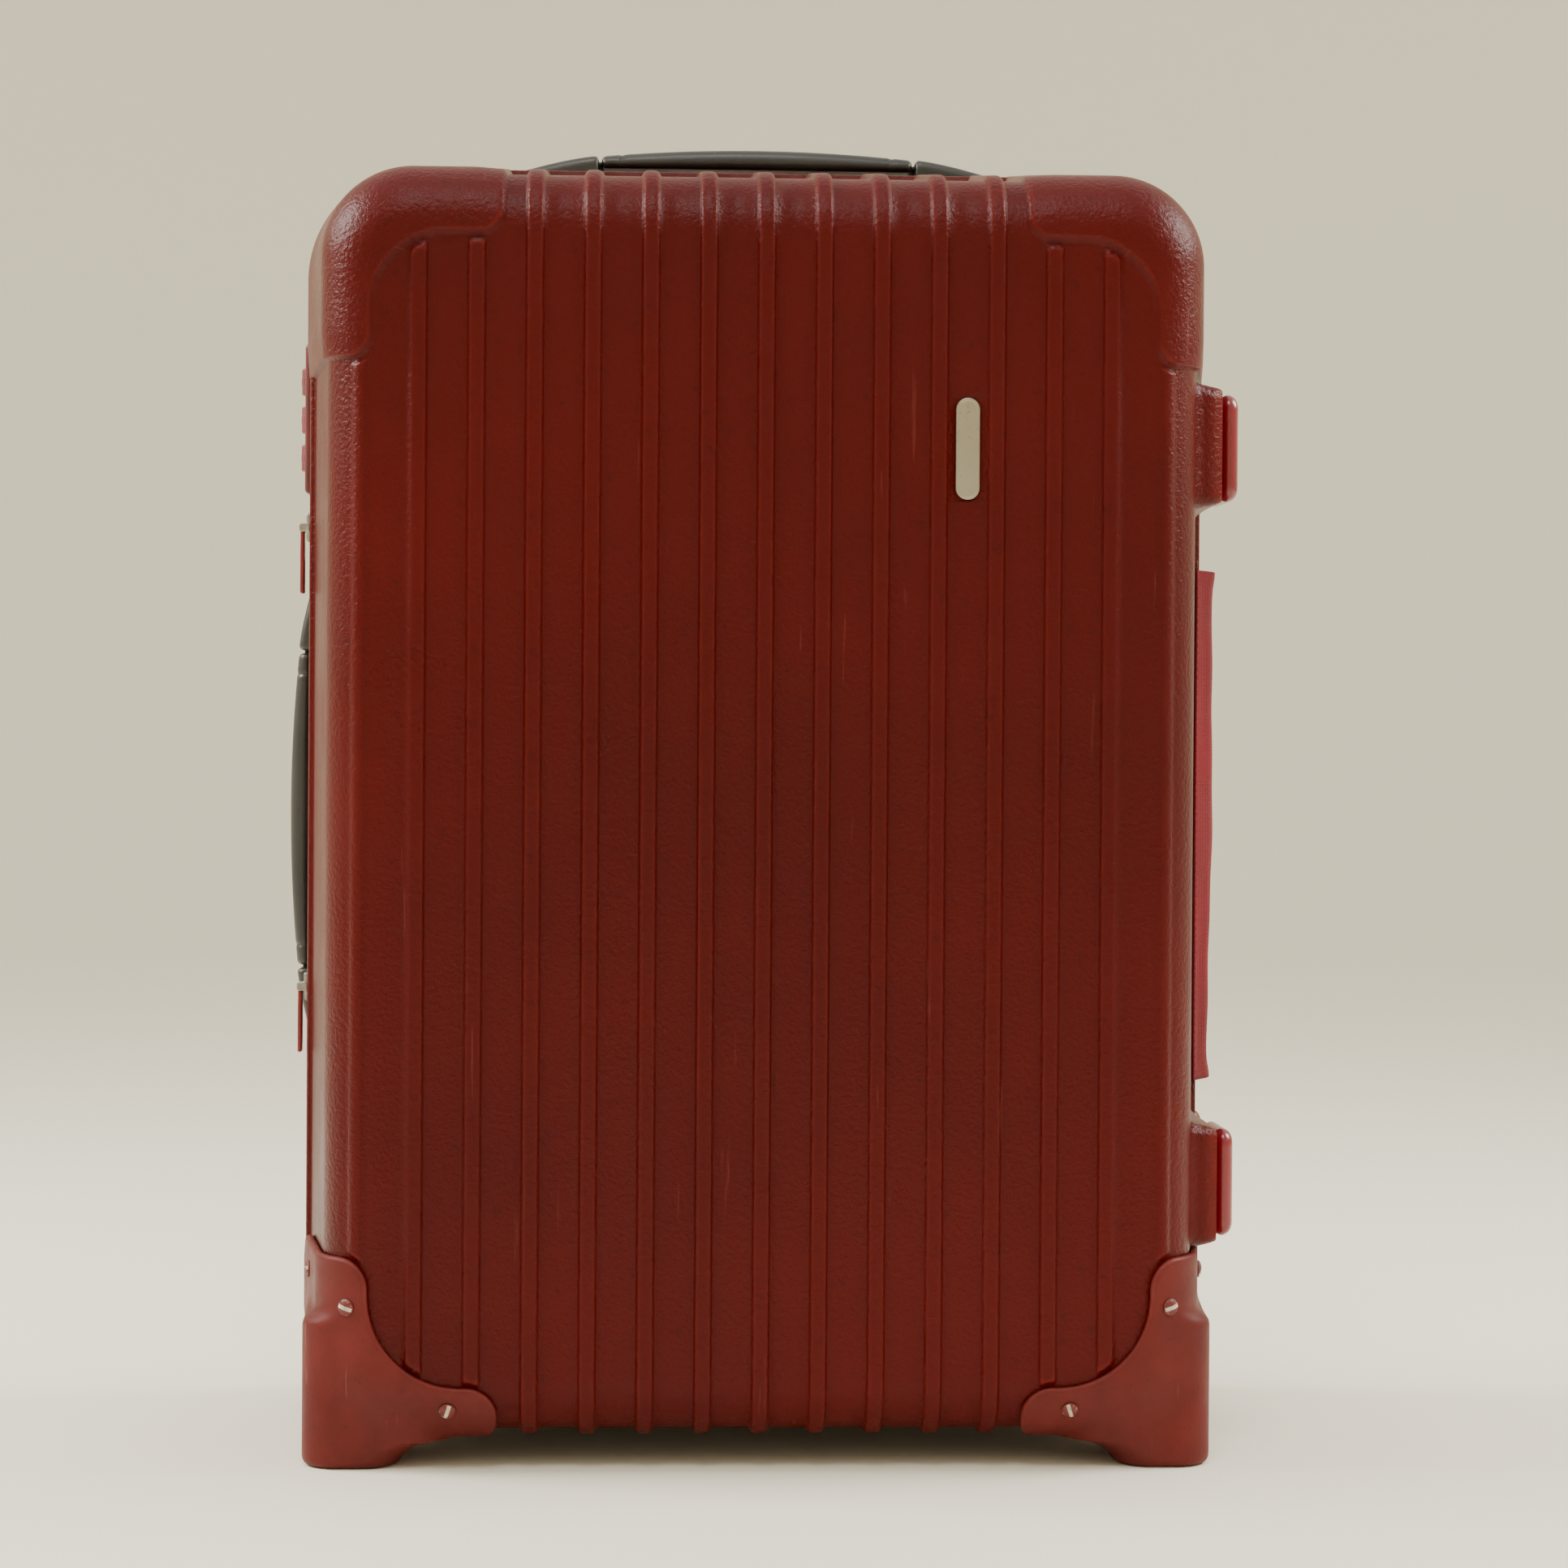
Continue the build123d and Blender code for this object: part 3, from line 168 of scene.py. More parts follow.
def join_grids(name, grids):
    """One welded mesh from several (points, closed) grids."""
    points, quads, start = [], [], 0
    for grid, closed in grids:
        quads.append(grid_quads(grid.shape[0], grid.shape[1], start, closed))
        points.append(grid.reshape(-1, 3))
        start += len(points[-1])
    return weld(quad_mesh(name, np.concatenate(points), np.concatenate(quads)))


def surface_net(values, origin, step):
    """Points and faces on the zero level of a sampled field, which is negative inside."""
    inside = values < 0
    shape = tuple(n - 1 for n in values.shape)
    total = np.zeros(shape + (3,), np.float32)
    count = np.zeros(shape, np.float32)
    for axis in range(3):
        for offset in itertools.product((0, 1), repeat=3):
            if offset[axis]:
                continue
            end = tuple(o + (i == axis) for i, o in enumerate(offset))
            first = tuple(slice(o, o + n) for o, n in zip(offset, shape))
            second = tuple(slice(o, o + n) for o, n in zip(end, shape))
            crossed = inside[first] != inside[second]
            a, b = values[first][crossed], values[second][crossed]
            place = np.tile(np.array(offset, np.float32), (len(a), 1))
            place[:, axis] += a / (a - b)
            total[crossed] += place
            count[crossed] += 1
    active = count > 0
    index = np.full(shape, -1, np.int64)
    index[active] = np.arange(active.sum())
    points = (np.argwhere(active) + total[active] / count[active][:, None]) * step + origin
    quads = []
    for axis in range(3):
        u, v = [i for i in range(3) if i != axis]
        ahead = [slice(None)] * 3
        ahead[axis] = slice(1, None)
        behind = [slice(None)] * 3
        behind[axis] = slice(None, -1)
        edge = inside[tuple(behind)] != inside[tuple(ahead)]
        places = np.argwhere(edge)
        leaving = inside[tuple(behind)][edge]
        ring = []
        for du, dv in ((1, 1), (0, 1), (0, 0), (1, 0)):
            cell = places.copy()
            cell[:, u] -= du
            cell[:, v] -= dv
            ring.append(index[tuple(cell.T)])
        faces = np.stack(ring, 1)
        flip = leaving if axis == 1 else ~leaving
        faces[flip] = faces[flip][:, ::-1]
        quads.append(faces)
    return points, np.concatenate(quads)


def sculpt(name, low, high, step, field):
    """A smooth closed mesh of the space where field(x, y, z) is negative."""
    low, high = np.array(low, float), np.array(high, float)
    origin = low - 2 * step
    counts = np.ceil((high - low) / step).astype(int) + 5
    axes = [origin[i] + step * np.arange(counts[i]) for i in range(3)]
    x, y, z = np.meshgrid(*axes, indexing="ij")
    points, quads = surface_net(np.asarray(field(x, y, z), np.float32), origin, step)
    return quad_mesh(name, points, quads)


# ---------------------------------------------------------------- distance fields
def blend_max(a, b, soft):
    """The larger of two distances, rounded where they meet."""
    near = np.clip(soft - np.abs(a - b), 0, None) / soft
    return np.maximum(a, b) + near * near * soft / 4


def blend_min(a, b, soft):
    return -blend_max(-a, -b, soft)


def slab(value, low, high):
    return np.maximum(low - value, value - high)


def box_field(parts, radius):
    """Distance to a rounded box from its signed distances along each axis."""
    moved = [p + radius for p in parts]
    outside = np.sqrt(sum(np.maximum(m, 0) ** 2 for m in moved))
    deepest = moved[0]
    for m in moved[1:]:
        deepest = np.maximum(deepest, m)
    return outside + np.minimum(deepest, 0) - radius


def corner_field(x, z, bar, end, rounds):
    """Distance to the L-shaped area of a cap, or of a boot when z, bar and end are negated."""
    across = np.abs(x)
    tip, inner = rounds
    arms = []
    for edge, level in ((CORNER_REACH, bar), (CORNER_COLUMN, end)):
        arms.append(box_field([edge - across, level - z], tip))
    u, v = [np.maximum(inner - a, 0) for a in arms]
    return np.maximum(inner, np.minimum(*arms)) - np.hypot(u, v)


def ease(value, low, high):
    """0 at low, 1 at high, with soft ends."""
    t = np.clip((value - low) / (high - low), 0, 1)
    return t * t * (3 - 2 * t)


def ripple(points, scale, seed):
    """Smooth repeatable unevenness, about -1 to 1."""
    rng = np.random.default_rng(seed)
    total = 0
    for k in range(5):
        way = rng.normal(size=3)
        way /= np.linalg.norm(way)
        total = total + np.sin(points @ way * (2 * math.pi / scale) * (0.6 + 0.25 * k) + rng.uniform(0, 6))
    return total / 5


# ---------------------------------------------------------------- the form of one half of the case
class HalfForm:
    """The tray shape of one half shell: a flat panel, a rounded edge and walls that lean out to the rim."""

    def __init__(self, node, facing):
        low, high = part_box(node)
        self.facing = facing
        self.half = -low.x - BEAD_PROUD
        self.low = low.z + BEAD_PROUD
        self.top = high.z - BEAD_PROUD
        self.depth = max(-low.y, high.y) - RIB_PROUD
        self.set_lean()

    def set_lean(self):
        run = self.depth - SHELL_LIP
        self.lean = (RIM_CORNER - FACE_CORNER) / run
        self.slant = math.hypot(1, self.lean)
        self.core_x = self.half - RIM_CORNER
        self.core_top = self.top - RIM_CORNER
        self.arc_d = self.depth - EDGE_RADIUS
        self.arc_r = RIM_CORNER - self.lean * (self.arc_d - SHELL_LIP) - EDGE_RADIUS * self.slant

    def core_low(self, d):
        """Lower edge of the core rectangle that the corners turn about."""
        sink = RIM_CORNER - FACE_CORNER - BOTTOM_SLOPE * (self.depth - SHELL_LIP)
        return self.low + RIM_CORNER - sink * (d - SHELL_LIP) / (self.depth - SHELL_LIP)

    def profile(self, step, rim_step):
        """Rows from the core's edge over the rounding to the rim: distance out, depth and the two normal parts."""
        rows = [(r, self.depth, 0.0, 1.0) for r in np.linspace(0, self.arc_r, max(2, round(self.arc_r / step)))]
        end = math.atan2(1, self.lean)
        for turn in np.linspace(0, end, max(4, round(EDGE_RADIUS * end / step)))[1:]:
            r, d = math.sin(turn), math.cos(turn)
            rows.append((self.arc_r + EDGE_RADIUS * r, self.arc_d + EDGE_RADIUS * d, r, d))
        near = SHELL_LIP + 2 * RIM_CORNER / 10
        levels = list(np.linspace(rows[-1][1], near, max(3, round((rows[-1][1] - near) / (1.4 * step)))))[1:]
        levels += list(np.linspace(near, SHELL_LIP, max(3, round((near - SHELL_LIP) / rim_step))))[1:]
        for d in levels:
            wall = RIM_CORNER - self.lean * (d - SHELL_LIP)
            rows.append((wall, d, 1 / self.slant, self.lean / self.slant))
        return np.array(rows)

    def stations(self, columns, levels, turns):
        """Places round the outline: core x, share of the core's height, and the way out."""
        share = (levels - levels[0]) / (levels[-1] - levels[0])
        quarter = np.linspace(0, math.pi / 2, turns)
        found = [(x, 1, 0, 1) for x in columns]
        found += [(columns[-1], 1, math.sin(t), math.cos(t)) for t in quarter[1:-1]]
        found += [(columns[-1], f, 1, 0) for f in share[::-1]]
        found += [(columns[-1], 0, math.cos(t), -math.sin(t)) for t in quarter[1:-1]]
        found += [(x, 0, 0, -1) for x in columns[::-1]]
        found += [(columns[0], 0, -math.sin(t), -math.cos(t)) for t in quarter[1:-1]]
        found += [(columns[0], f, -1, 0) for f in share]
        found += [(columns[0], 1, -math.cos(t), math.sin(t)) for t in quarter[1:-1]]
        return np.array(found, float)

    def wall_points(self, stations, rows):
        """Points and normals over the rounding and walls, stations by rows."""
        x, share, out_x, out_z = [stations[:, i, None] for i in range(4)]
        r, d, normal_r, normal_d = [rows[None, :, i] for i in range(4)]
        low = self.core_low(d)
        z = low + share * (self.core_top - low) + out_z * r
        ones = np.ones_like(x * r)
        points = np.stack([x + out_x * r, self.facing * d * ones, z * ones], -1)
        normals = np.stack([out_x * normal_r, self.facing * normal_d * ones, out_z * normal_r], -1)
        return points, normals

    def panel_points(self, columns, levels):
        """Points and normals over the flat panel between the core's corners."""
        x, z = np.meshgrid(columns, levels, indexing="ij")
        points = np.stack([x, np.full_like(x, self.facing * self.depth), z], -1)
        normals = np.zeros_like(points)
        normals[..., 1] = self.facing
        return points, normals

    def distance(self, x, y, z):
        """Distance outside the half body's surface."""
        d = self.facing * y
        low = self.core_low(d)
        out = np.hypot(x - np.clip(x, -self.core_x, self.core_x), z - np.clip(z, low, self.core_top))
        wall = (out - RIM_CORNER + self.lean * (d - SHELL_LIP)) / self.slant
        face = d - self.depth
        r, deep = out - self.arc_r, d - self.arc_d
        on_arc = (r > 0) & (deep > r * self.lean)
        return np.where(on_arc, np.hypot(r, deep) - EDGE_RADIUS, np.maximum(wall, face))


def spread(*runs):
    """Sorted values from several (low, high, step) runs, without near repeats."""
    values = np.sort(np.concatenate([np.linspace(a, b, max(2, round((b - a) / s) + 1)) for a, b, s in runs]))
    keep = [values[0]]
    for value in values[1:-1]:
        if value - keep[-1] > 0.0003:
            keep.append(value)
    if values[-1] - keep[-1] < 0.0003:
        keep.pop()
    return np.array(keep + [values[-1]])


def tray(name, form, columns, levels, turns, step, rim_step, outside, inside):
    """A closed tray of two skins; outside and inside turn surface points and normals into each skin."""
    rows = form.profile(step, rim_step)
    stations = form.stations(columns, levels, turns)
    around, facing_out = form.wall_points(stations, rows)
    panel, panel_out = form.panel_points(columns, levels)
    outer = outside(around, facing_out)
    inner = inside(around, facing_out)[:, ::-1]
    skins = [(np.concatenate([outer, inner], 1), True)]
    skins += [(outside(panel, panel_out), False), (inside(panel, panel_out), False)]
    return join_grids(name, skins)


# ---------------------------------------------------------------- materials
def add_node(tree, kind, values=(), **settings):
    made = tree.nodes.new(kind)
    for key, value in settings.items():
        setattr(made, key, value)
    for key, value in dict(values).items():
        made.inputs[key].default_value = value
    return made


def noise_at(tree, scale, detail=4.0, stretch=(1, 1, 1)):
    """Noise in the piece's own coordinates, as a factor output."""
    place = add_node(tree, "ShaderNodeTexCoord")
    mapping = add_node(tree, "ShaderNodeMapping", {"Scale": stretch})
    made = add_node(tree, "ShaderNodeTexNoise", {"Scale": scale, "Detail": detail, "Roughness": 0.6})
    tree.links.new(place.outputs["Object"], mapping.inputs["Vector"])
    tree.links.new(mapping.outputs["Vector"], made.inputs["Vector"])
    return made.outputs["Fac"]


def remap(tree, source, low, high, to_low=0.0, to_high=1.0):
    values = {"From Min": low, "From Max": high, "To Min": to_low, "To Max": to_high}
    made = add_node(tree, "ShaderNodeMapRange", values, clamp=True)
    tree.links.new(source, made.inputs["Value"])
    return made.outputs["Result"]


def combine(tree, how, a, b):
    made = add_node(tree, "ShaderNodeMath", operation=how)
    for socket, value in zip(made.inputs, (a, b)):
        if isinstance(value, (int, float)):
            socket.default_value = value
        else:
            tree.links.new(value, socket)
    return made.outputs[0]


def mixed(tree, factor, a, b):
    """Colour b over colour a by a factor."""
    made = add_node(tree, "ShaderNodeMix", data_type="RGBA")
    tree.links.new(factor, made.inputs["Factor"])
    for socket, value in ((made.inputs[6], a), (made.inputs[7], b)):
        if isinstance(value, tuple):
            socket.default_value = value + (1.0,)
        else:
            tree.links.new(value, socket)
    return made.outputs[2]


def surface(name, dark, light, roughness, metallic=0.0, coat=0.0, sheen=0.0, specular=0.5,
            patch=9.0, grain=900.0, grain_depth=0.1, worn=None, worn_edge=(0.52, 0.6),
            scratch=0.35, scratch_colour=None, stretch=(1, 1, 1), weave=0.0):
    """A surface with cloudy colour, fine grain, scuffs, scratches and edges rubbed paler."""
    made = bpy.data.materials.new(name)
    made.use_nodes = True
    tree = made.node_tree
    shader = tree.nodes["Principled BSDF"]
    constants = {"Metallic": metallic, "Coat Weight": coat, "Coat Roughness": 0.25,
                 "Sheen Weight": sheen, "Specular IOR Level": specular}
    for key, value in constants.items():
        shader.inputs[key].default_value = value
    colour = mixed(tree, remap(tree, noise_at(tree, patch), 0.35, 0.68), dark, light)
    speck = remap(tree, noise_at(tree, grain / 3, 2.0), 0.62, 0.75, 0.0, 0.35)
    colour = mixed(tree, speck, colour, tuple(0.45 * c for c in dark))
    if worn:
        edge = add_node(tree, "ShaderNodeNewGeometry").outputs["Pointiness"]
        rubbed = combine(tree, "MULTIPLY", remap(tree, edge, *worn_edge),
                         remap(tree, noise_at(tree, 60.0), 0.3, 0.65, 0.25, 0.9))
        colour = mixed(tree, rubbed, colour, worn)
    lines = remap(tree, noise_at(tree, 35.0, 3.0, (6.0, 1.0, 0.35)), 0.69, 0.73)
    scuffs = combine(tree, "MULTIPLY", lines, scratch)
    colour = mixed(tree, scuffs, colour, scratch_colour or tuple(min(1.0, c * 1.6 + 0.02) for c in light))
    tree.links.new(colour, shader.inputs["Base Color"])
    uneven = remap(tree, noise_at(tree, patch * 3), 0.3, 0.7, roughness - 0.06, roughness + 0.08)
    tree.links.new(combine(tree, "ADD", uneven, combine(tree, "MULTIPLY", scuffs, 0.25)), shader.inputs["Roughness"])
    height = noise_at(tree, grain, 3.0, stretch)
    if weave:
        height = combine(tree, "ADD", height, weave_height(tree, weave))
    bump = add_node(tree, "ShaderNodeBump", {"Strength": grain_depth, "Distance": 0.0006})
    tree.links.new(height, bump.inputs["Height"])
    tree.links.new(bump.outputs["Normal"], shader.inputs["Normal"])
    return made


def weave_height(tree, scale):
    """Crossed threads as a bump height."""
    place = add_node(tree, "ShaderNodeTexCoord").outputs["Object"]
    threads = []
    for way in ("X", "Z"):
        wave = add_node(tree, "ShaderNodeTexWave", {"Scale": scale, "Distortion": 0.6}, bands_direction=way)
        tree.links.new(place, wave.inputs["Vector"])
        threads.append(wave.outputs["Fac"])
    return combine(tree, "MULTIPLY", threads[0], threads[1])


def make_materials():
    return {
        "shell": surface("shell_red", (0.062, 0.0008, 0.0003), (0.086, 0.0014, 0.0007), 0.33, specular=0.16,
                         patch=5.0, grain=500, grain_depth=0.9, worn=(0.17, 0.010, 0.006), worn_edge=(0.515, 0.57),
                         scratch=0.20, scratch_colour=(0.22, 0.05, 0.035)),
        "shell_inside": surface("shell_inside", (0.06, 0.004, 0.003), (0.09, 0.007, 0.005), 0.5, scratch=0.2),
        "boot": surface("boot_brick", (0.088, 0.0055, 0.0045), (0.13, 0.011, 0.009), 0.50, specular=0.25, patch=30.0,
                        grain=1100, grain_depth=0.22, worn=(0.24, 0.04, 0.035), scratch=0.5,
                        scratch_colour=(0.30, 0.10, 0.08)),
        "bumper": surface("bumper_crimson", (0.15, 0.0008, 0.006), (0.22, 0.002, 0.012), 0.20, coat=0.4,
                          grain=500, grain_depth=0.06, worn=(0.34, 0.03, 0.05), scratch=0.4),
        "badge": surface("badge_satin", (0.28, 0.245, 0.18), (0.42, 0.38, 0.30), 0.36, metallic=0.8, grain=1500,
                         grain_depth=0.08, stretch=(1, 1, 0.05), scratch_colour=(0.2, 0.17, 0.13)),
        "screw": surface("screw_painted", (0.09, 0.006, 0.005), (0.15, 0.012, 0.010), 0.42, patch=260,
                         grain=1400, grain_depth=0.2, worn=(0.40, 0.22, 0.18), worn_edge=(0.52, 0.60)),
        "bare_metal": surface("bare_metal", (0.50, 0.42, 0.34), (0.75, 0.68, 0.60), 0.35, metallic=0.8,
                              patch=400, grain=1600, grain_depth=0.3),
        "zip_fabric": surface("zip_fabric", (0.10, 0.006, 0.006), (0.18, 0.014, 0.012), 0.85, sheen=0.3,
                              grain=1600, grain_depth=0.5, weave=420),
        "gusset": surface("gusset_fabric", (0.13, 0.0012, 0.006), (0.20, 0.003, 0.012), 0.86, sheen=0.05,
                          specular=0.2, grain=1500, grain_depth=0.6, weave=330),
        "thread": surface("thread", (0.12, 0.01, 0.01), (0.25, 0.03, 0.03), 0.8, grain=2500, grain_depth=0.3),
        "lining": surface("lining_cloth", (0.045, 0.042, 0.045), (0.085, 0.08, 0.085), 0.8, sheen=0.3,
                          grain=1400, grain_depth=0.4, weave=260, scratch=0.1),
        "pocket": surface("pocket_mesh", (0.02, 0.02, 0.022), (0.05, 0.05, 0.055), 0.75, sheen=0.2,
                          grain=1200, grain_depth=0.5, weave=180, scratch=0.1),
        "webbing": surface("webbing", (0.03, 0.03, 0.033), (0.07, 0.07, 0.075), 0.8, sheen=0.3,
                           grain=1500, grain_depth=0.5, weave=300, scratch=0.1),
        "board": surface("board_grey", (0.10, 0.10, 0.10), (0.17, 0.17, 0.165), 0.6, scratch=0.3),
        "black_plastic": surface("black_plastic", (0.012, 0.011, 0.010), (0.028, 0.026, 0.022), 0.40, coat=0.1,
                                 grain=1200, grain_depth=0.22, worn=(0.09, 0.085, 0.08), scratch=0.4,
                                 scratch_colour=(0.12, 0.11, 0.10)),
        "strap_core": surface("strap_rubber", (0.02, 0.02, 0.02), (0.04, 0.04, 0.04), 0.6, scratch=0.2),
        "zip_metal": surface("zip_metal", (0.20, 0.18, 0.16), (0.40, 0.37, 0.33), 0.35, metallic=0.9, patch=150,
                             grain=1800, worn=(0.7, 0.66, 0.6)),
        "pull": surface("pull_red", (0.16, 0.006, 0.008), (0.28, 0.012, 0.012), 0.4, coat=0.2, patch=120,
                        worn=(0.45, 0.1, 0.08)),
        "teeth": surface("teeth_red", (0.12, 0.008, 0.008), (0.22, 0.018, 0.014), 0.45, patch=80, grain=1800),
        "lock": surface("lock_crimson", (0.085, 0.006, 0.008), (0.13, 0.012, 0.014), 0.42, patch=40,
                        worn=(0.26, 0.06, 0.06), scratch=0.4),
        "dial": surface("dial_crimson", (0.12, 0.012, 0.018), (0.20, 0.030, 0.040), 0.45, patch=90,
                        grain=1600, worn=(0.36, 0.14, 0.15)),
        "keyed_metal": surface("keyed_metal", (0.40, 0.38, 0.35), (0.62, 0.60, 0.56), 0.3, metallic=1.0,
                               patch=200, grain=1600),
        "tyre": surface("tyre_rubber", (0.018, 0.018, 0.018), (0.045, 0.044, 0.042), 0.72, grain=900,
                        grain_depth=0.3, worn=(0.11, 0.105, 0.10), scratch=0.5),
        "hub": surface("hub_grey", (0.07, 0.07, 0.072), (0.12, 0.12, 0.122), 0.45, worn=(0.25, 0.25, 0.25)),
        "bearing": surface("bearing_steel", (0.42, 0.42, 0.42), (0.62, 0.62, 0.62), 0.28, metallic=1.0,
                           patch=200),
        "tube": surface("tube_aluminium", (0.45, 0.45, 0.46), (0.64, 0.64, 0.65), 0.34, metallic=1.0, grain=2200,
                        grain_depth=0.12, stretch=(1, 1, 0.02)),
        "button": surface("button_red", (0.16, 0.008, 0.008), (0.26, 0.014, 0.012), 0.42, coat=0.1, patch=60,
                          worn=(0.4, 0.1, 0.08)),
    }


# ---------------------------------------------------------------- shells
def rib_places():
    return (np.arange(RIB_COUNT) - (RIB_COUNT - 1) / 2) * RIB_PITCH


def shell_columns(form):
    """Columns close together over each rib and near the corners."""
    runs = [(-form.core_x, form.core_x, RIB_PITCH / 3)]
    for x in rib_places():
        runs.append((max(x - RIB_HALF * 1.1, -form.core_x), min(x + RIB_HALF * 1.1, form.core_x), 0.0007))
    for side in (-1, 1):
        ends = sorted((side * (CORNER_REACH - 0.008), side * form.core_x))
        runs.append((*ends, FINE))
    return spread(*runs)


def shell_levels(form, fine):
    """Levels close together where something crosses the panel or the walls."""
    low, high = form.core_low(form.depth), form.core_top
    runs = [(low, high, COARSE), (high - 0.050, high, FINE)]
    runs += [(max(low, a), min(high, b), FINE) for a, b in fine]
    return spread(*runs)


def pad_places():
    """Half the depth of a bumper foot and the middle height of each one on a half, lowest first."""
    low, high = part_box("front_bumper_feet")
    return (high.y - low.y) / 2, (low.z + PAD_HALF_HEIGHT, high.z - PAD_HALF_HEIGHT)


def ribs_at(x):
    """Height of the ribs across the case, 0 to 1."""
    away = np.min(np.abs(x[..., None] - rib_places()), -1) / RIB_HALF
    return np.clip(1 - away**4, 0, 1) ** 0.6


def relief(form, points, boots):
    """How far the moulded detail stands out of the plain shell."""
    x, y, z = points[..., 0], points[..., 1], points[..., 2]
    d = np.abs(y)
    cap = corner_field(x, z, form.top - CAP_BAR, form.top - CAP_LENGTH, CAP_ROUNDS)
    clear = ease(cap, 0.0010, 0.0036)
    height = RIB_PROUD * ribs_at(x) * clear
    ridge = np.clip(1 - (np.abs(np.abs(x) - EDGE_RIDGE_X) / EDGE_RIDGE_HALF) ** 3, 0, 1)
    height = np.maximum(height, EDGE_RIDGE_PROUD * ridge * clear * ease(d, form.arc_d, form.arc_d + 0.006))
    if boots:
        under = corner_field(x, -z, -BOOT_BAR, -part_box("boot_left")[1].z, BOOT_ROUNDS)
        height *= ease(np.where(d > BOOT_BACK - 0.001, under, 1), 0.0003, 0.0018)
    swell = 0.75 * ease(-cap, -0.0008, 0.0012) + 0.25 * ease(-cap, 0.0, 0.014)
    height = np.maximum(height, CAP_PROUD * swell)
    height = height - CAP_CREASE * np.exp(-((cap - 0.0016) / 0.0011) ** 2)
    if boots:
        height = height - BOOT_CREASE * np.exp(-((under - 0.0006) / 0.0013) ** 4) * (d > BOOT_BACK)
    bead = np.clip(1 - (np.abs(d - BEAD_MIDDLE) / 0.0026) ** 4, 0, 1) ** 0.5
    return np.maximum(height, 0.97 * BEAD_PROUD * bead)


def raise_swellings(points):
    """Pushes the right-hand wall out to the bumper feet."""
    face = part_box("front_bumper_feet")[0].x
    half, levels = pad_places()
    middle = (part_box("front_bumper_feet")[0].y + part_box("front_bumper_feet")[1].y) / 2
    share = 0
    for level in levels:
        parts = [np.abs(np.abs(points[..., 1]) + middle) - half - SWELL_MARGIN[0],
                 np.abs(points[..., 2] - level) - PAD_HALF_HEIGHT - SWELL_MARGIN[1]]
        share = np.maximum(share, ease(-box_field(parts, 0.007), 0, SWELL_SOFT))
    share = np.where(points[..., 0] > 0, share, 0)
    points[..., 0] += (face - points[..., 0]) * share
    return points


def flatten_seats(points):
    """Flat platforms for the two carry handles on the back half."""
    low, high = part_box("top_handle_ends")
    parts = [slab(points[..., 0], low.x - 0.003, high.x + 0.003), slab(points[..., 1], low.y - 0.003, high.y + 0.003)]
    share = np.where(points[..., 2] > high.z - 0.05, ease(-box_field(parts, 0.003), -SEAT_SOFT, 0), 0)
    points[..., 2] += (low.z - points[..., 2]) * share
    low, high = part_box("side_handle_ends")
    parts = [slab(points[..., 2], low.z - 0.003, high.z + 0.003), slab(points[..., 1], low.y - 0.003, high.y + 0.003)]
    share = np.where(points[..., 0] < low.x + 0.05, ease(-box_field(parts, 0.003), -SEAT_SOFT, 0), 0)
    points[..., 0] += (high.x - points[..., 0]) * share
    return points


def sink_badge(form, points):
    """Recess under the badge plate."""
    low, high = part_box("badge_plate")
    middle, half = (low + high) / 2, (high - low) / 2
    up = points[..., 2] - middle.z
    away = np.hypot(points[..., 0] - middle.x, up - np.clip(up, half.x - half.z, half.z - half.x)) - half.x
    depth = np.where(points[..., 1] < -form.depth + 0.001, ease(-away, -0.0009, 0.0), 0)
    points[..., 1] += 0.0011 * depth
    return points


def front_shell(form, paint):
    badge_low, badge_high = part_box("badge_plate")
    fine = [(badge_low.z - 0.002, badge_high.z + 0.002)]
    fine += [(z - PAD_HALF_HEIGHT - 0.008, z + PAD_HALF_HEIGHT + 0.008) for z in pad_places()[1]]

    def outside(points, normals):
        raised = points + normals * relief(form, points, True)[..., None]
        return sink_badge(form, raise_swellings(raised))

    def inside(points, normals):
        return points - WALL * normals

    mesh = tray("front_shell", form, shell_columns(form), shell_levels(form, fine), 44, 0.0012, 0.0004, outside, inside)
    piece = add_piece("front_shell_skin", mesh, paint["shell"], "lid")
    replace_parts(piece, "front_shell")


def cut_boxes(mesh, boxes):
    """Cuts box-shaped openings through a mesh."""
    points, quads = [], []
    for low, high in boxes:
        start = len(points)
        points += [[(low, high)[i][0], (low, high)[j][1], (low, high)[k][2]]
                   for i, j, k in itertools.product((0, 1), repeat=3)]
        quads += [[start + n for n in face] for face in
                  ((0, 1, 3, 2), (4, 6, 7, 5), (0, 4, 5, 1), (2, 3, 7, 6), (0, 2, 6, 4), (1, 5, 7, 3))]
    target = bpy.data.objects.new("cut_target", mesh)
    cutter = bpy.data.objects.new("cutter", quad_mesh("cutter", np.array(points), np.array(quads)))
    for made in (target, cutter):
        bpy.context.scene.collection.objects.link(made)
    change = target.modifiers.new("cut", "BOOLEAN")
    change.operation, change.solver, change.object = "DIFFERENCE", "EXACT", cutter
    bpy.context.view_layer.update()
    result = bpy.data.meshes.new_from_object(target.evaluated_get(bpy.context.evaluated_depsgraph_get()))
    for made in (target, cutter):
        bpy.data.objects.remove(made)
    return result


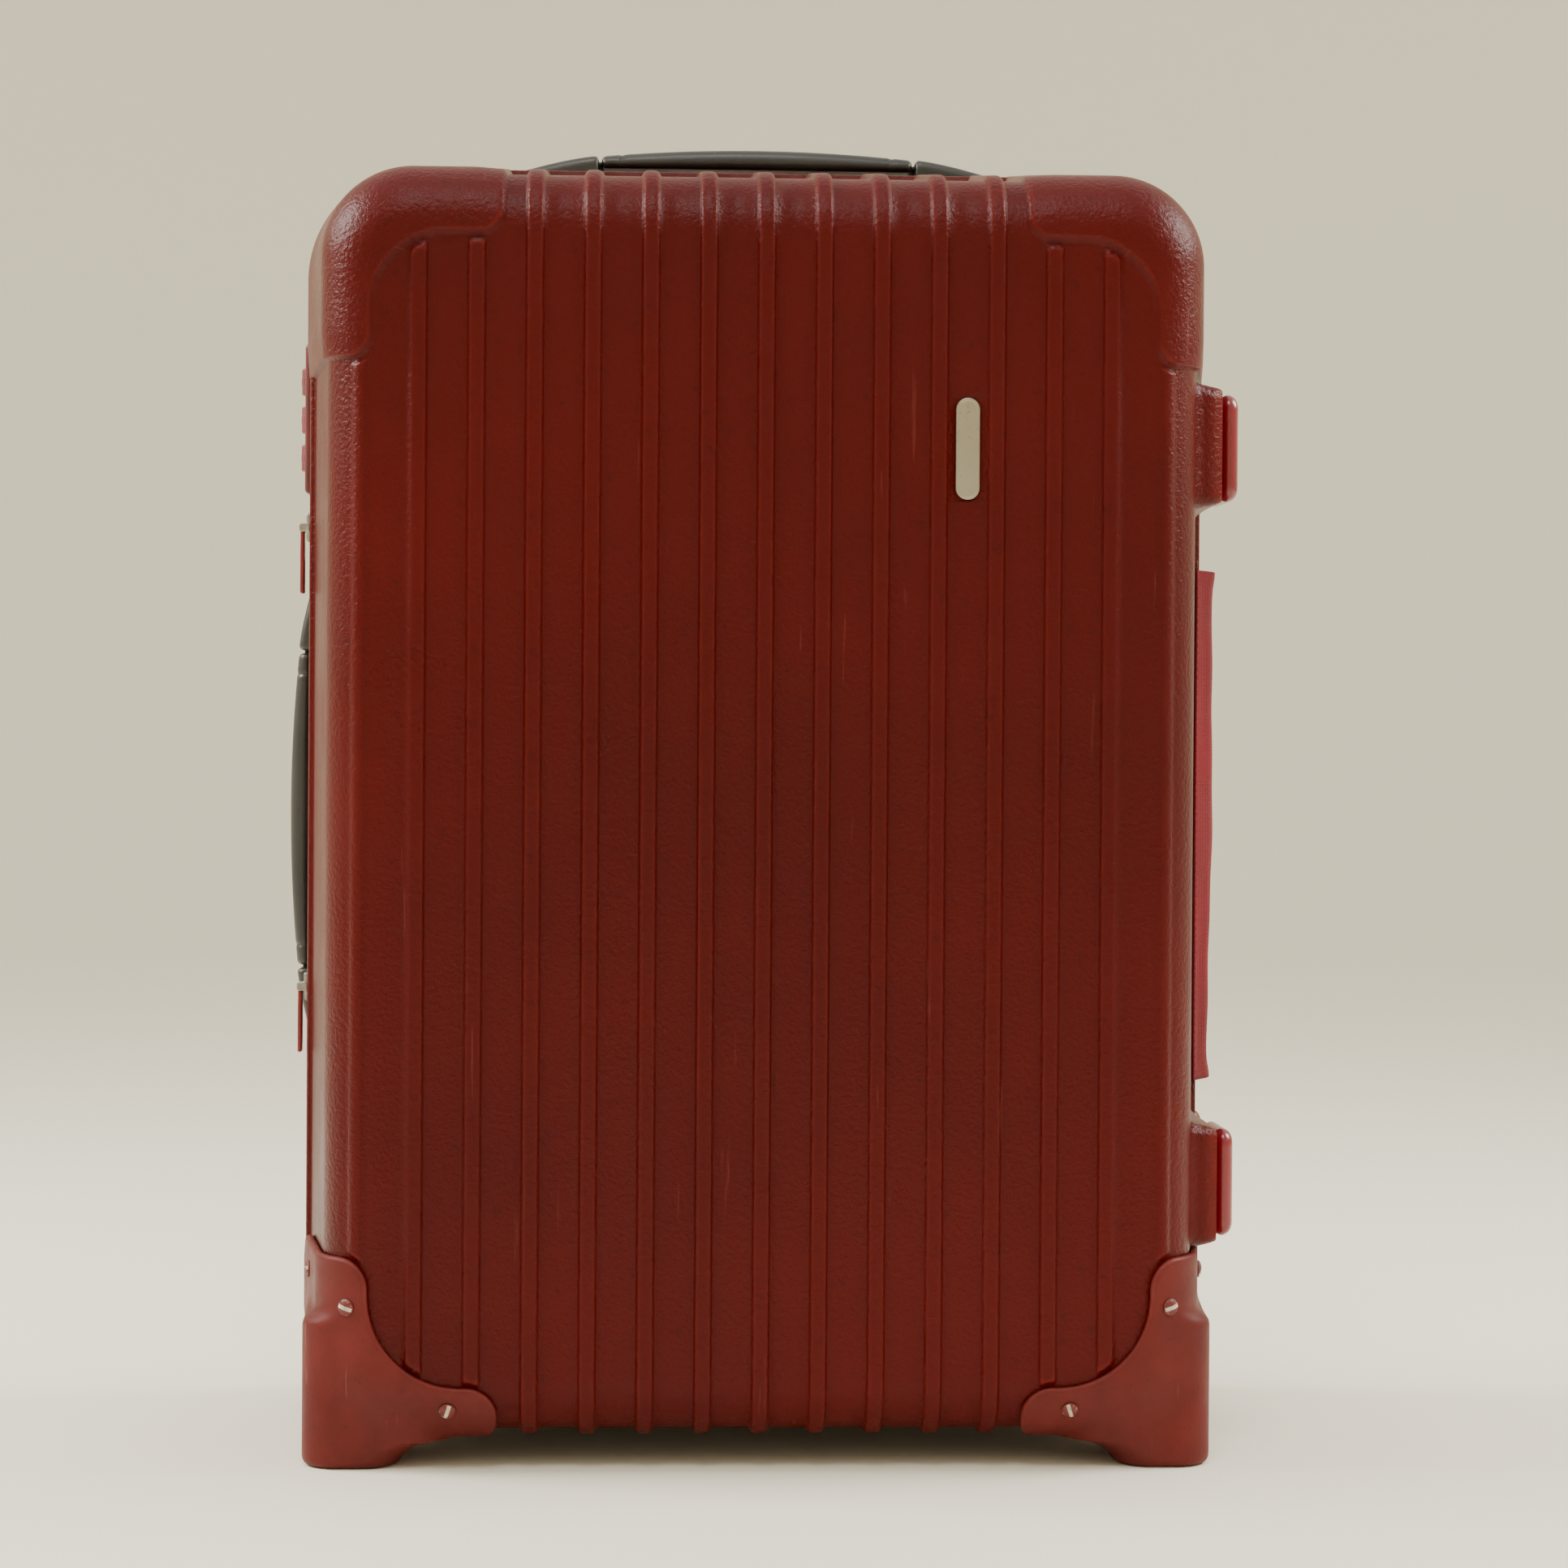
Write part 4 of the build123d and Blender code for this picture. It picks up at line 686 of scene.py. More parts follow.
def housing_boxes():
    """The openings of the back shell: two wheel housings, the trolley housing and the lock."""
    boxes = []
    for node, out in (("wheel_housing_left", (-1, 1, -1)), ("wheel_housing_right", (1, 1, -1)),
                      ("trolley_housing", (0, 1, 1)), ("lock_body", (-1, 0, 0))):
        low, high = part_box(node)
        low, high = list(low), list(high)
        for i, way in enumerate(out):
            if way > 0:
                high[i] += 0.03
            if way < 0:
                low[i] -= 0.03
        if node.startswith("wheel"):
            low[0], high[0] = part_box(node)[0].x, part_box(node)[1].x
        boxes.append((low, high))
    return boxes


def back_shell(form, paint):
    low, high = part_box("side_handle_ends")
    fine = [(z - PAD_HALF_HEIGHT - 0.008, z + PAD_HALF_HEIGHT + 0.008) for z in pad_places()[1]]
    fine += [(z - 0.006, z + 0.004) for z in (low.z, high.z + 0.002)]

    def outside(points, normals):
        raised = points + normals * relief(form, points, False)[..., None]
        return flatten_seats(raise_swellings(raised))

    def inside(points, normals):
        return points - WALL * normals

    mesh = tray("back_shell", form, shell_columns(form), shell_levels(form, fine), 44, 0.0014, 0.0004, outside, inside)
    mesh = cut_boxes(mesh, housing_boxes())
    piece = add_piece("back_shell_skin", mesh, paint["shell"], "case_back", sharp=40)
    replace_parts(piece, "back_shell")


# ---------------------------------------------------------------- boots and their screws
def boots(form, paint):
    low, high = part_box("boot_right")
    spread_out, spread_up = FOOT_FLARE

    def field(x, y, z):
        skin = form.distance(x, y, z)
        area = corner_field(x, -z, -BOOT_BAR, -high.z, BOOT_ROUNDS)
        cover = blend_max(skin - BOOT_PROUD, area, 0.0022)
        cover = blend_max(cover, box_field([y + BOOT_BACK, z - high.z], BOOT_ROUNDS[0]), 0.0012)
        cover = blend_max(cover, box_field([CORNER_REACH - x, BOOT_UNDERSIDE - z], BOOT_ROUNDS[0]), 0.0012)
        flare = spread_out * (1 - np.sqrt(1 - np.clip(z / spread_up, 0, 0.98) ** 2))
        plan = box_field([slab(x, FOOT_SIDES[0] - flare, FOOT_SIDES[1]), slab(y, *FOOT_ENDS)], FOOT_ROUND)
        column = blend_max(plan, slab(z, low.z + 0.0001, 0.060), 0.004)
        column = blend_max(column, area, 0.0022)
        return blend_max(blend_min(cover, column, 0.006), BOOT_GAP - skin, 0.0008)

    for side, name in ((1, "right"), (-1, "left")):
        mesh = sculpt(f"boot_{name}", (low.x - 0.002, low.y, low.z), (high.x, -0.010, high.z + 0.001), 0.0009, field)
        if side < 0:
            mesh.transform(Matrix.Scale(-1, 4, (1, 0, 0)))
            mesh.flip_normals()
        piece = add_piece(f"boot_shell_{name}", mesh, paint["boot"], "lid")
        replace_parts(piece, f"boot_{name}")


def screw_field(x, y, z):
    """Round head with a slot, axis along Z, seat at z = 0, with a short shank."""
    out = np.hypot(x, y)
    dome = np.hypot(out, z + 0.0042) - 0.0060
    head = blend_max(blend_max(out - SCREW_RADIUS, dome, 0.0006), -z, 0.0003)
    head = blend_max(head, -np.maximum(np.abs(y) - SLOT_HALF, SCREW_HEIGHT * 0.45 - z), 0.0003)
    return np.minimum(head, np.maximum(out - 0.002, slab(z, -0.004, 0.0005)))


def screw_places(form):
    """Each boot screw's seat, way out and slot turn, on the right-hand side."""
    arm = EDGE_RADIUS + BOOT_PROUD
    tilt = math.radians(30)
    side_x = form.core_x + form.arc_r
    low_z = form.core_low(form.arc_d) - form.arc_r
    out_side = Vector((math.sin(tilt), -math.cos(tilt), 0))
    out_low = Vector((0, -math.cos(tilt), -math.sin(tilt)))
    out_wall = Vector((1, -form.lean, 0)).normalized()
    found = []
    for seat, out, turn in ((Vector((side_x, -form.arc_d, 0.066)) + arm * out_side, out_side, 0.0),
                            (Vector((0.125, -form.arc_d, low_z)) + arm * out_low, out_low, math.pi / 2),
                            (Vector((form.half, -0.045, 0.074)), out_wall, 0.6)):
        for _ in range(6):
            seat = seat + (BOOT_PROUD - float(form.distance(*seat))) * out
        found.append((seat, out, turn))
    return found


def boot_screws(form, paint):
    reach = SCREW_RADIUS + 0.0001
    head = sculpt("screw_head", (-reach, -reach, -0.0042), (reach, reach, 0.0019), 0.00022, screw_field)
    slot = [abs(f.center.y) < SLOT_HALF + 0.00025 and f.center.z > 0.4 * SCREW_HEIGHT for f in head.polygons]
    slot = np.array(slot, np.int32)
    made = []
    for place, way, turn in screw_places(form):
        for side in (1, -1):
            spot = Vector((side * place.x, place.y, place.z))
            out = Vector((side * way.x, way.y, way.z))
            mesh = head.copy()
            turned = out.to_track_quat("Z", "Y").to_matrix().to_4x4() @ Matrix.Rotation(turn + 0.3 * side, 4, "Z")
            mesh.transform(Matrix.Translation(spot) @ turned)
            made.append(add_piece(f"boot_screw_{len(made) + 1}", mesh, paint["screw"], "lid"))
            mesh.materials.append(paint["bare_metal"])
            mesh.polygons.foreach_set("material_index", slot)
    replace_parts(made[0], "boot_screws")


def badge(paint):
    """Plain pill-shaped plate with a raised border."""
    low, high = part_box("badge_plate")
    middle, half = (low + high) / 2, (high - low) / 2

    def field(x, y, z):
        up = z - middle.z
        pill = np.hypot(x - middle.x, up - np.clip(up, half.x - half.z, half.z - half.x)) - half.x
        plate = blend_max(pill, slab(y, low.y, high.y), 0.0005)
        dish = np.maximum(pill + 0.0011, y - low.y - 0.00025)
        return blend_max(plate, -dish, 0.0003)

    mesh = sculpt("badge", low, high, 0.00028, field)
    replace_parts(add_piece("badge_blank", mesh, paint["badge"], "lid"), "badge_plate")


# ---------------------------------------------------------------- bumper feet
def bumper_feet(paint):
    for node, body in (("front_bumper_feet", "lid"), ("back_bumper_feet", "case_back")):
        low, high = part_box(node)
        half, levels = pad_places()
        for level, name in zip(levels, ("low", "high")):
            middle = (low.y + high.y) / 2

            def field(x, y, z):
                plan = box_field([np.abs(y - middle) - half, np.abs(z - level) - PAD_HALF_HEIGHT], 0.0068)
                body_field = blend_max(plan, slab(x, low.x, high.x), 0.006)
                groove = np.hypot(plan + 0.005, x - high.x) - 0.0006
                return blend_max(body_field, -groove, 0.0004)

            start, stop = (low.x, low.y, level - PAD_HALF_HEIGHT), (high.x, high.y, level + PAD_HALF_HEIGHT)
            mesh = sculpt(f"{node}_{name}", start, stop, 0.0006, field)
            piece = add_piece(f"{node}_{name}", mesh, paint["bumper"], body)
            if name == "low":
                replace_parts(piece, node)


# ---------------------------------------------------------------- carry handles
def handle_places():
    """Each handle's name and the placement of its own frame."""
    low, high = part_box("top_handle_ends")
    top = Matrix.Translation(((low.x + high.x) / 2, (low.y + high.y) / 2, low.z))
    low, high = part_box("side_handle_ends")
    seat = Matrix(((0, 0, -1, high.x), (0, 1, 0, (low.y + high.y) / 2), (1, 0, 0, (low.z + high.z) / 2), (0, 0, 0, 1)))
    return (("top", top), ("side", seat))


def grip_field(half, width, under, top, rise):
    def field(x, y, z):
        crown = top + rise * (1 - (x / half) ** 2)
        round_bar = blend_max(blend_max(z - crown, np.abs(y) - width, 0.006), under - z, 0.0035)
        seam = np.hypot(np.abs(x) - half + 0.009, 0.7 * blend_max(z - crown, np.abs(y) - width, 0.006)) - 0.0004
        return blend_max(blend_max(round_bar, np.abs(x) - half, 0.0022), -seam, 0.0006)
    return field


def lug_field(near, end, width, top, tip):
    def field(x, y, z):
        along = np.clip((np.abs(x) - near) / (end - near), 0, 1)
        crown = top + (tip - top) * along**1.39
        wedge = blend_max(z - crown, np.abs(y) - width, 0.0045)
        body = blend_max(blend_max(wedge, slab(np.abs(x), near, end), 0.0022), -z, 0.0006)
        mouth = box_field([np.abs(x) - near - 0.012, np.abs(y) - 0.0085, slab(z, 0.0070, 0.0098)], 0.0008)
        return blend_max(body, -mouth, 0.0006)
    return field


def carry_handles(paint):
    low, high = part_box("top_handle_grip")
    ends_low, ends_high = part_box("top_handle_ends")
    strap_low, strap_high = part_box("top_handle_strap")
    half, width = high.x, (high.y - low.y) / 2
    under, crown = low.z - ends_low.z, high.z - ends_low.z
    end_top = ends_high.z - ends_low.z
    grip = grip_field(half - 0.0001, width - 0.0001, under, end_top, crown - end_top - 0.0002)
    lug = lug_field(half + 0.001, ends_high.x - 0.0001, width - 0.0001, end_top, 0.003)
    strap = (strap_low.z - ends_low.z, strap_high.z - ends_low.z)
    for name, place in handle_places():
        mesh = sculpt(f"{name}_grip", (-half, -width, under), (half, width, crown), 0.0008, grip)
        mesh.transform(place)
        piece = add_piece(f"{name}_handle_bar", mesh, paint["black_plastic"], f"{name}_handle")
        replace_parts(piece, f"{name}_handle_grip")
        for side in (-1, 1):
            ends = sorted((side * half, side * ends_high.x))
            mesh = sculpt(f"{name}_lug", (ends[0], -width, 0), (ends[1], width, end_top), 0.0008, lug)
            mesh.transform(place)
            side_name = "a" if side < 0 else "b"
            piece = add_piece(f"{name}_handle_lug_{side_name}", mesh, paint["black_plastic"], "case_back")
            if side < 0:
                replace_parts(piece, f"{name}_handle_ends")
            strap_end(name, side_name, place, side, half, strap, paint)


def strap_end(name, side_name, place, side, half, levels, paint):
    """Flexible core between a lug and the grip."""
    inner, outer = half - 0.012, half + 0.0115
    along = np.linspace(inner, outer, 26) * side
    section = rounded_loop((levels[1] - levels[0]) / 2, 0.008, 0.0008)
    middle = (levels[0] + levels[1]) / 2
    rings = np.array([[(x, v, middle + w) for w, v in section] for x in along])
    mesh = capped_tube(f"{name}_strap_{side_name}", rings)
    mesh.transform(place)
    piece = add_piece(f"{name}_handle_core_{side_name}", mesh, paint["strap_core"], None)
    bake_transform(piece)
    if side < 0:
        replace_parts(piece, f"{name}_handle_strap")


def rounded_loop(half_u, half_v, radius, steps=4):
    """Points round a rounded rectangle."""
    loop = []
    for turn, (su, sv) in enumerate(((1, 1), (-1, 1), (-1, -1), (1, -1))):
        for a in np.linspace(0, math.pi / 2, steps) + turn * math.pi / 2:
            loop.append((su * (half_u - radius) + radius * math.cos(a), sv * (half_v - radius) + radius * math.sin(a)))
    return loop


def capped_tube(name, rings):
    """A closed mesh through a row of rings with the same number of points."""
    count, size = rings.shape[:2]
    mesh = quad_mesh(name, rings.reshape(-1, 3), np.concatenate([
        grid_quads(size, count, closed=True).reshape(-1, 4) * 0 + ring_quads(count, size)]))
    work = bmesh.new()
    work.from_mesh(mesh)
    work.verts.ensure_lookup_table()
    work.faces.new([work.verts[i] for i in range(size)])
    work.faces.new([work.verts[(count - 1) * size + i] for i in range(size)][::-1])
    bmesh.ops.recalc_face_normals(work, faces=work.faces)
    work.to_mesh(mesh)
    work.free()
    return mesh


def ring_quads(count, size):
    """Faces between rings stored one after another."""
    a = np.arange(count - 1)[:, None] * size
    b = np.arange(size)[None, :]
    after = (b + 1) % size
    return np.stack([a + b, a + after, a + size + after, a + size + b], -1).reshape(-1, 4)


# ---------------------------------------------------------------- lock
def lock(paint):
    low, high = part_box("lock_body")
    dials = [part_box(f"dial_{n}") for n in (1, 2, 3)]
    axis_x, axis_y = (dials[0][0].x + dials[0][1].x) / 2, (dials[0][0].y + dials[0][1].y) / 2
    radius = max(dials[0][1].y - axis_y, axis_x - dials[0][0].x)
    release_low, release_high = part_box("lock_release")
    key_low, key_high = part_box("key_cylinder")
    key_y, key_z = (key_low.y + key_high.y) / 2, (key_low.z + key_high.z) / 2

    def case(x, y, z):
        body = box_field([slab(x, low.x, high.x), slab(y, low.y, high.y), slab(z, low.z, high.z)], 0.0018)
        for dial_low, dial_high in dials:
            well = np.maximum(np.hypot(x - axis_x, y - axis_y) - radius - 0.0004,
                              slab(z, dial_low.z - 0.0004, dial_high.z + 0.0004))
            body = blend_max(body, -well, 0.0008)
        slot = box_field([release_low.x - 0.001 - x + 0 * x, slab(y, release_low.y - 0.0003, release_high.y + 0.0003),
                          slab(z, release_low.z - 0.0053, release_high.z + 0.0003)], 0.0004)
        slot = np.maximum(slot, x - release_high.x)
        bore = np.maximum(np.hypot(y - key_y, z - key_z) - 0.0041, x - key_high.x)
        ring = np.hypot(np.hypot(y - key_y, z - key_z) - 0.0056, x - low.x) - 0.0003
        return blend_max(blend_max(body, -np.minimum(slot, bore), 0.0005), -ring, 0.0003)

    mesh = sculpt("lock_case", low, high, 0.0005, case)
    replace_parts(add_piece("lock_case", mesh, paint["lock"], "case_back"), "lock_body")
    release(release_low, release_high, paint)
    key(key_low, key_high, key_y, key_z, paint)
    for number, (dial_low, dial_high) in enumerate(dials, start=1):
        number_dial(number, dial_low, dial_high, axis_x, axis_y, radius, paint)


def release(low, high, paint):
    def field(x, y, z):
        knob = box_field([slab(x, low.x, high.x), slab(y, low.y, high.y), slab(z, low.z, high.z)], 0.0008)
        grooves = np.hypot(((z - low.z) % 0.0023) - 0.00115, x - low.x) - 0.0005
        return blend_max(knob, -grooves, 0.0003)

    mesh = sculpt("release", low, high, 0.00025, field)
    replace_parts(add_piece("lock_release_slide", mesh, paint["lock"], "release"), "lock_release")


def key(low, high, middle_y, middle_z, paint):
    def field(x, y, z):
        plug = blend_max(np.hypot(y - middle_y, z - middle_z) - 0.0039, slab(x, low.x, high.x), 0.0006)
        hole = box_field([x - low.x - 0.004, np.abs(y - middle_y) - 0.0004, np.abs(z - middle_z) - 0.0021], 0.0002)
        return blend_max(plug, -hole, 0.0003)

    mesh = sculpt("key", low, high, 0.00025, field)
    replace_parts(add_piece("lock_key_plug", mesh, paint["keyed_metal"], "key"), "key_cylinder")


def number_dial(number, low, high, axis_x, axis_y, radius, paint):
    """Ten-sided wheel with a finger notch at each corner and a small raised dash on each face."""
    def field(x, y, z):
        u, v = x - axis_x, y - axis_y
        turn = np.arctan2(v, u)
        step = math.pi / 5
        local = (turn + step / 2) % step - step / 2
        out = np.hypot(u, v)
        faces = out * np.cos(local) - radius * math.cos(step / 2) * 0.995
        body = blend_max(blend_max(faces, out - radius + 0.0002, 0.0004), slab(z, low.z, high.z), 0.0008)
        notch_turn = np.abs(turn % step - step / 2)
        notch = np.hypot(out * np.sin(notch_turn), out * np.cos(notch_turn) - radius * 1.02) - 0.0009
        body = blend_max(body, -notch, 0.0004)
        mark = np.maximum(np.abs(out * np.sin(local)) - 0.0003,
                          np.maximum(np.abs(z - (low.z + high.z) / 2) - 0.0016, faces - 0.0002))
        return blend_max(np.minimum(body, np.maximum(mark, -faces - 0.0006)), 0.0019 - out, 0.0003)

    mesh = sculpt(f"dial_{number}", low, high, 0.00028, field)
    piece = add_piece(f"number_wheel_{number}", mesh, paint["dial"], f"number_dial_{number}")
    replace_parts(piece, f"dial_{number}")


# ---------------------------------------------------------------- zip
def rim_path(form, offset, step):
    """Closed path round the rim outline, with the way out at each point."""
    stations = form.stations(np.linspace(-form.core_x, form.core_x, round(2 * form.core_x / step)),
                             np.linspace(form.core_low(SHELL_LIP), form.core_top, 200), 26)
    low = form.core_low(SHELL_LIP)
    z = low + stations[:, 1] * (form.core_top - low)
    places = np.stack([stations[:, 0] + stations[:, 2] * (RIM_CORNER + offset),
                       z + stations[:, 3] * (RIM_CORNER + offset)], 1)
    ways = stations[:, 2:4]
    moved = np.linalg.norm(places - np.roll(places, 1, 0), axis=1) > 1e-7
    return places[moved], ways[moved]


def even_path(form, offset, pitch):
    """Points at an even pitch round the rim outline."""
    places, ways = rim_path(form, offset, 0.002)
    closed = np.vstack([places, places[:1]])
    length = np.concatenate([[0], np.cumsum(np.linalg.norm(np.diff(closed, axis=0), axis=1))])
    count = round(length[-1] / pitch)
    at = np.arange(count) * length[-1] / count
    spots = np.stack([np.interp(at, length, closed[:, i]) for i in range(2)], 1)
    both = np.vstack([ways, ways[:1]])
    out = np.stack([np.interp(at, length, both[:, i]) for i in range(2)], 1)
    return spots, out / np.linalg.norm(out, axis=1)[:, None]


def zip_tapes(form, paint):
    """Woven tape with a rolled edge round each half, and its row of moulded teeth."""
    hinge_low, hinge_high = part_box("hinge_gusset")
    for facing, node, body in ((-1, "front_zip_tape", "lid"), (1, "back_zip_tape", "case_back")):
        places, ways = rim_path(form, 0, 0.003)
        section = rounded_loop(0.0007, 0.00205, 0.0005)
        middle_y = facing * 0.00235
        rings = []
        for u, v in section:
            spot = places + ways * (-0.0013 + u)
            rings.append(np.stack([spot[:, 0], np.full(len(spot), middle_y + v), spot[:, 1]], 1))
        grid = np.array(rings + [rings[0]]).transpose(1, 0, 2)
        mesh = join_grids(node, [(grid, True)])
        tape = add_piece(f"{node}_woven", mesh, paint["zip_fabric"], body)
        spots, out = even_path(form, -0.0002, TOOTH_PITCH)
        keep = ~((spots[:, 0] > 0) & (spots[:, 1] > hinge_low.z) & (spots[:, 1] < hinge_high.z))
        offset = 0.5 if facing > 0 else 0.0
        spots, out = np.roll(spots, 0, 0)[keep], out[keep]
        along = np.stack([-out[:, 1], out[:, 0]], 1)
        spots = spots + along * offset * TOOTH_PITCH
        centres = np.stack([spots[:, 0], np.full(len(spots), facing * 0.00105), spots[:, 1]], 1)
        outs = np.stack([out[:, 0], np.zeros(len(out)), out[:, 1]], 1)
        teeth = beads(f"{node}_teeth", centres, outs, (0.0, facing, 0.0), (0.00075, 0.0008, 0.00075))
        add_piece(f"{node}_teeth", teeth, paint["teeth"], body)
        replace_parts(tape, node)


def beads(name, centres, first, second, sizes, rings=4, around=6):
    """Many small rounded beads in one mesh, each stretched along its own three ways."""
    first = np.asarray(first, float) * np.ones_like(centres)
    second = np.asarray(second, float) * np.ones_like(centres)
    third = np.cross(first, second)
    ball = []
    for i in range(rings + 1):
        polar = math.pi * i / rings
        for j in range(around):
            turn = 2 * math.pi * j / around
            flat = [math.sin(polar) * math.cos(turn), math.sin(polar) * math.sin(turn), math.cos(polar)]
            ball.append([math.copysign(abs(c) ** 0.7, c) for c in flat])
    ball = np.array(ball) * sizes
    quads = ring_quads(rings + 1, around)
    points = (centres[:, None] + ball[None, :, 0, None] * first[:, None] + ball[None, :, 1, None] * second[:, None]
              + ball[None, :, 2, None] * third[:, None])
    starts = np.arange(len(centres))[:, None, None] * len(ball)
    return weld(quad_mesh(name, points.reshape(-1, 3), (quads[None] + starts).reshape(-1, 4)), 1e-6)


def zip_sliders(paint):
    for name in ("lower", "upper"):
        low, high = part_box(f"zip_slider_{name}")
        pull_low, pull_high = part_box(f"zip_pull_{name}")
        middle_z = (low.z + high.z) / 2
        pin_x = pull_low.x + 0.0015

        def slider(x, y, z):
            across, along = np.abs(y), z - middle_z
            waist = 0.0040 - 0.0008 * ease(-along, 0.0, 0.006)
            plate = blend_max(box_field([slab(x, high.x - 0.0024, high.x), across - waist, np.abs(along) - 0.006], 0.001),
                              across - waist, 0.0006)
            ears = box_field([slab(x, pin_x - 0.0012, high.x - 0.001), np.abs(across - 0.0035) - 0.0004,
                              np.abs(along) - 0.0018], 0.0003)
            pin = np.maximum(np.hypot(x - pin_x, along) - 0.00095, across - 0.0035)
            return np.minimum(blend_min(plate, ears, 0.0006), pin)

        mesh = sculpt(f"slider_{name}", low, high, 0.00028, slider)
        piece = add_piece(f"zip_slider_{name}_cast", mesh, paint["zip_metal"], f"{name}_slider")
        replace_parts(piece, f"zip_slider_{name}")

        def pull(x, y, z):
            down = middle_z - z
            width = 0.0022 + 0.0008 * ease(down, 0.002, 0.012)
            tab = box_field([np.abs(x - pin_x) - 0.0009, np.abs(y) - width, slab(down, 0, middle_z - pull_low.z)], 0.0007)
            tab = blend_max(tab, np.abs(y) - width, 0.0005)
            knuckle = np.maximum(np.hypot(x - pin_x, down) - 0.00145, np.abs(y) - 0.0028)
            window = box_field([np.abs(y) - 0.0012, slab(down, 0.014, 0.0238)], 0.0011)
            body = blend_max(blend_min(tab, knuckle, 0.0006), -window, 0.0004)
            return blend_max(body, 0.00108 - np.hypot(x - pin_x, down), 0.0002)

        mesh = sculpt(f"pull_{name}", pull_low, pull_high, 0.00028, pull)
        piece = add_piece(f"zip_pull_{name}_tab", mesh, paint["pull"], f"{name}_pull")
        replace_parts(piece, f"zip_pull_{name}")


# ---------------------------------------------------------------- fabric hinge
def hinge_section(facing, form):
    """Line across one half of the hinge fabric: from its middle over the fold line down to the seam."""
    low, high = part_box("hinge_gusset")
    fold_x, fold_y = (low.x + high.x) / 2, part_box("front_hinge_flap")[1].y
    seam_y = -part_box("front_hinge_flap")[0].y
    wall_near = form.half - form.lean * (0.026 - SHELL_LIP) + 0.0009
    wall_far = form.half - form.lean * (seam_y - SHELL_LIP) + 0.0009
    bulge = fold_x + GUSSET_BULGE
    spots = [(bulge, 0.0), (bulge - 0.0003, 0.004), (bulge - 0.0012, 0.008), (fold_x + 0.001, -fold_y + 0.0006)]
    spots += [(fold_x - 0.002, 0.0175), (wall_near + 0.0016, 0.0225), (wall_near, 0.026), (wall_far, seam_y)]
    smooth = catmull(np.array(spots), 8)
    return [(x, facing * y) for x, y in smooth]


def catmull(spots, steps):
    """A smooth line through the spots."""
    ends = np.vstack([2 * spots[0] - spots[1], spots, 2 * spots[-1] - spots[-2]])
    line = []
    for a, b, c, d in zip(ends[:-3], ends[1:-2], ends[2:-1], ends[3:]):
        for t in np.linspace(0, 1, steps, endpoint=False):
            line.append(0.5 * (2 * b + (c - a) * t + (2 * a - 5 * b + 4 * c - d) * t**2 + (3 * b - a - 3 * c + d) * t**3))
    return np.array(line + [spots[-1]])


def fabric_hinge(form, paint):
    """The gusset as two halves of one cloth, each shaped over its own fold line, with stitched seams."""
    low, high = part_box("hinge_gusset")
    levels = np.linspace(low.z, high.z, 90)
    for facing, body, other, node in ((-1, "hinge_strip", "lid", "front_hinge_flap"),
                                      (1, "case_back", "hinge_strip", "back_hinge_flap")):
        line = np.array(hinge_section(facing, form))
        along = np.gradient(line, axis=0)
        normal = np.stack([along[:, 1] * facing, -along[:, 0] * facing], 1)
        normal /= np.linalg.norm(normal, axis=1)[:, None]
        free = ease(-np.abs(line[:, 1]), -0.026, -0.018)
        grid = np.zeros((len(line), len(levels), 3))
        for k, z in enumerate(levels):
            sway = ripple(np.stack([line[:, 0] * 0, line[:, 1] * 0.3, np.full(len(line), z)], 1), 0.045, 4)
            end_curl = 0.0012 * math.exp(-(min(z - low.z, high.z - z) / 0.006) ** 2)
            taper = 1 - 0.35 * ease(np.full(len(line), low.z + 0.11 - z), 0, 0.11)
            shift = free * (0.0007 * sway + end_curl) - free * GUSSET_BULGE * (1 - taper)
            grid[:, k, 0] = line[:, 0] + shift
            grid[:, k, 1] = line[:, 1]
            grid[:, k, 2] = z
        skin = np.stack([normal[:, 0], normal[:, 1], np.zeros(len(line))], 1)[:, None, :] * CLOTH / 2
        mesh = slab_sheet(f"{node}_cloth", grid - skin, grid + skin)
        piece = add_piece(f"{node}_cloth", mesh, paint["gusset"], None)
        fold_y = facing * abs(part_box("front_hinge_flap")[1].y)
        start, end = (0.192, fold_y - 0.0045, 0.26), (0.192, fold_y + 0.0045, 0.26)
        if facing < 0:
            start, end = end, start
            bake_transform(piece)
            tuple(start)
            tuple(end)
            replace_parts(piece, node, "hinge_gusset")
        else:
            start, end = end, start
            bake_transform(piece)
            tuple(start)
            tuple(end)
            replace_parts(piece, node)
        seams = hinge_seams(node, line, levels, facing, form, paint, "lid" if facing < 0 else "case_back")


def slab_sheet(name, bottom, top):
    """A closed thin sheet between two matching grids."""
    edge_low = np.stack([bottom[:, 0], top[:, 0]], 1)
    edge_high = np.stack([bottom[:, -1], top[:, -1]], 1)
    edge_first = np.stack([bottom[0], top[0]], 1)
    edge_last = np.stack([bottom[-1], top[-1]], 1)
    return join_grids(name, [(g, False) for g in (bottom, top, edge_low, edge_high, edge_first, edge_last)])


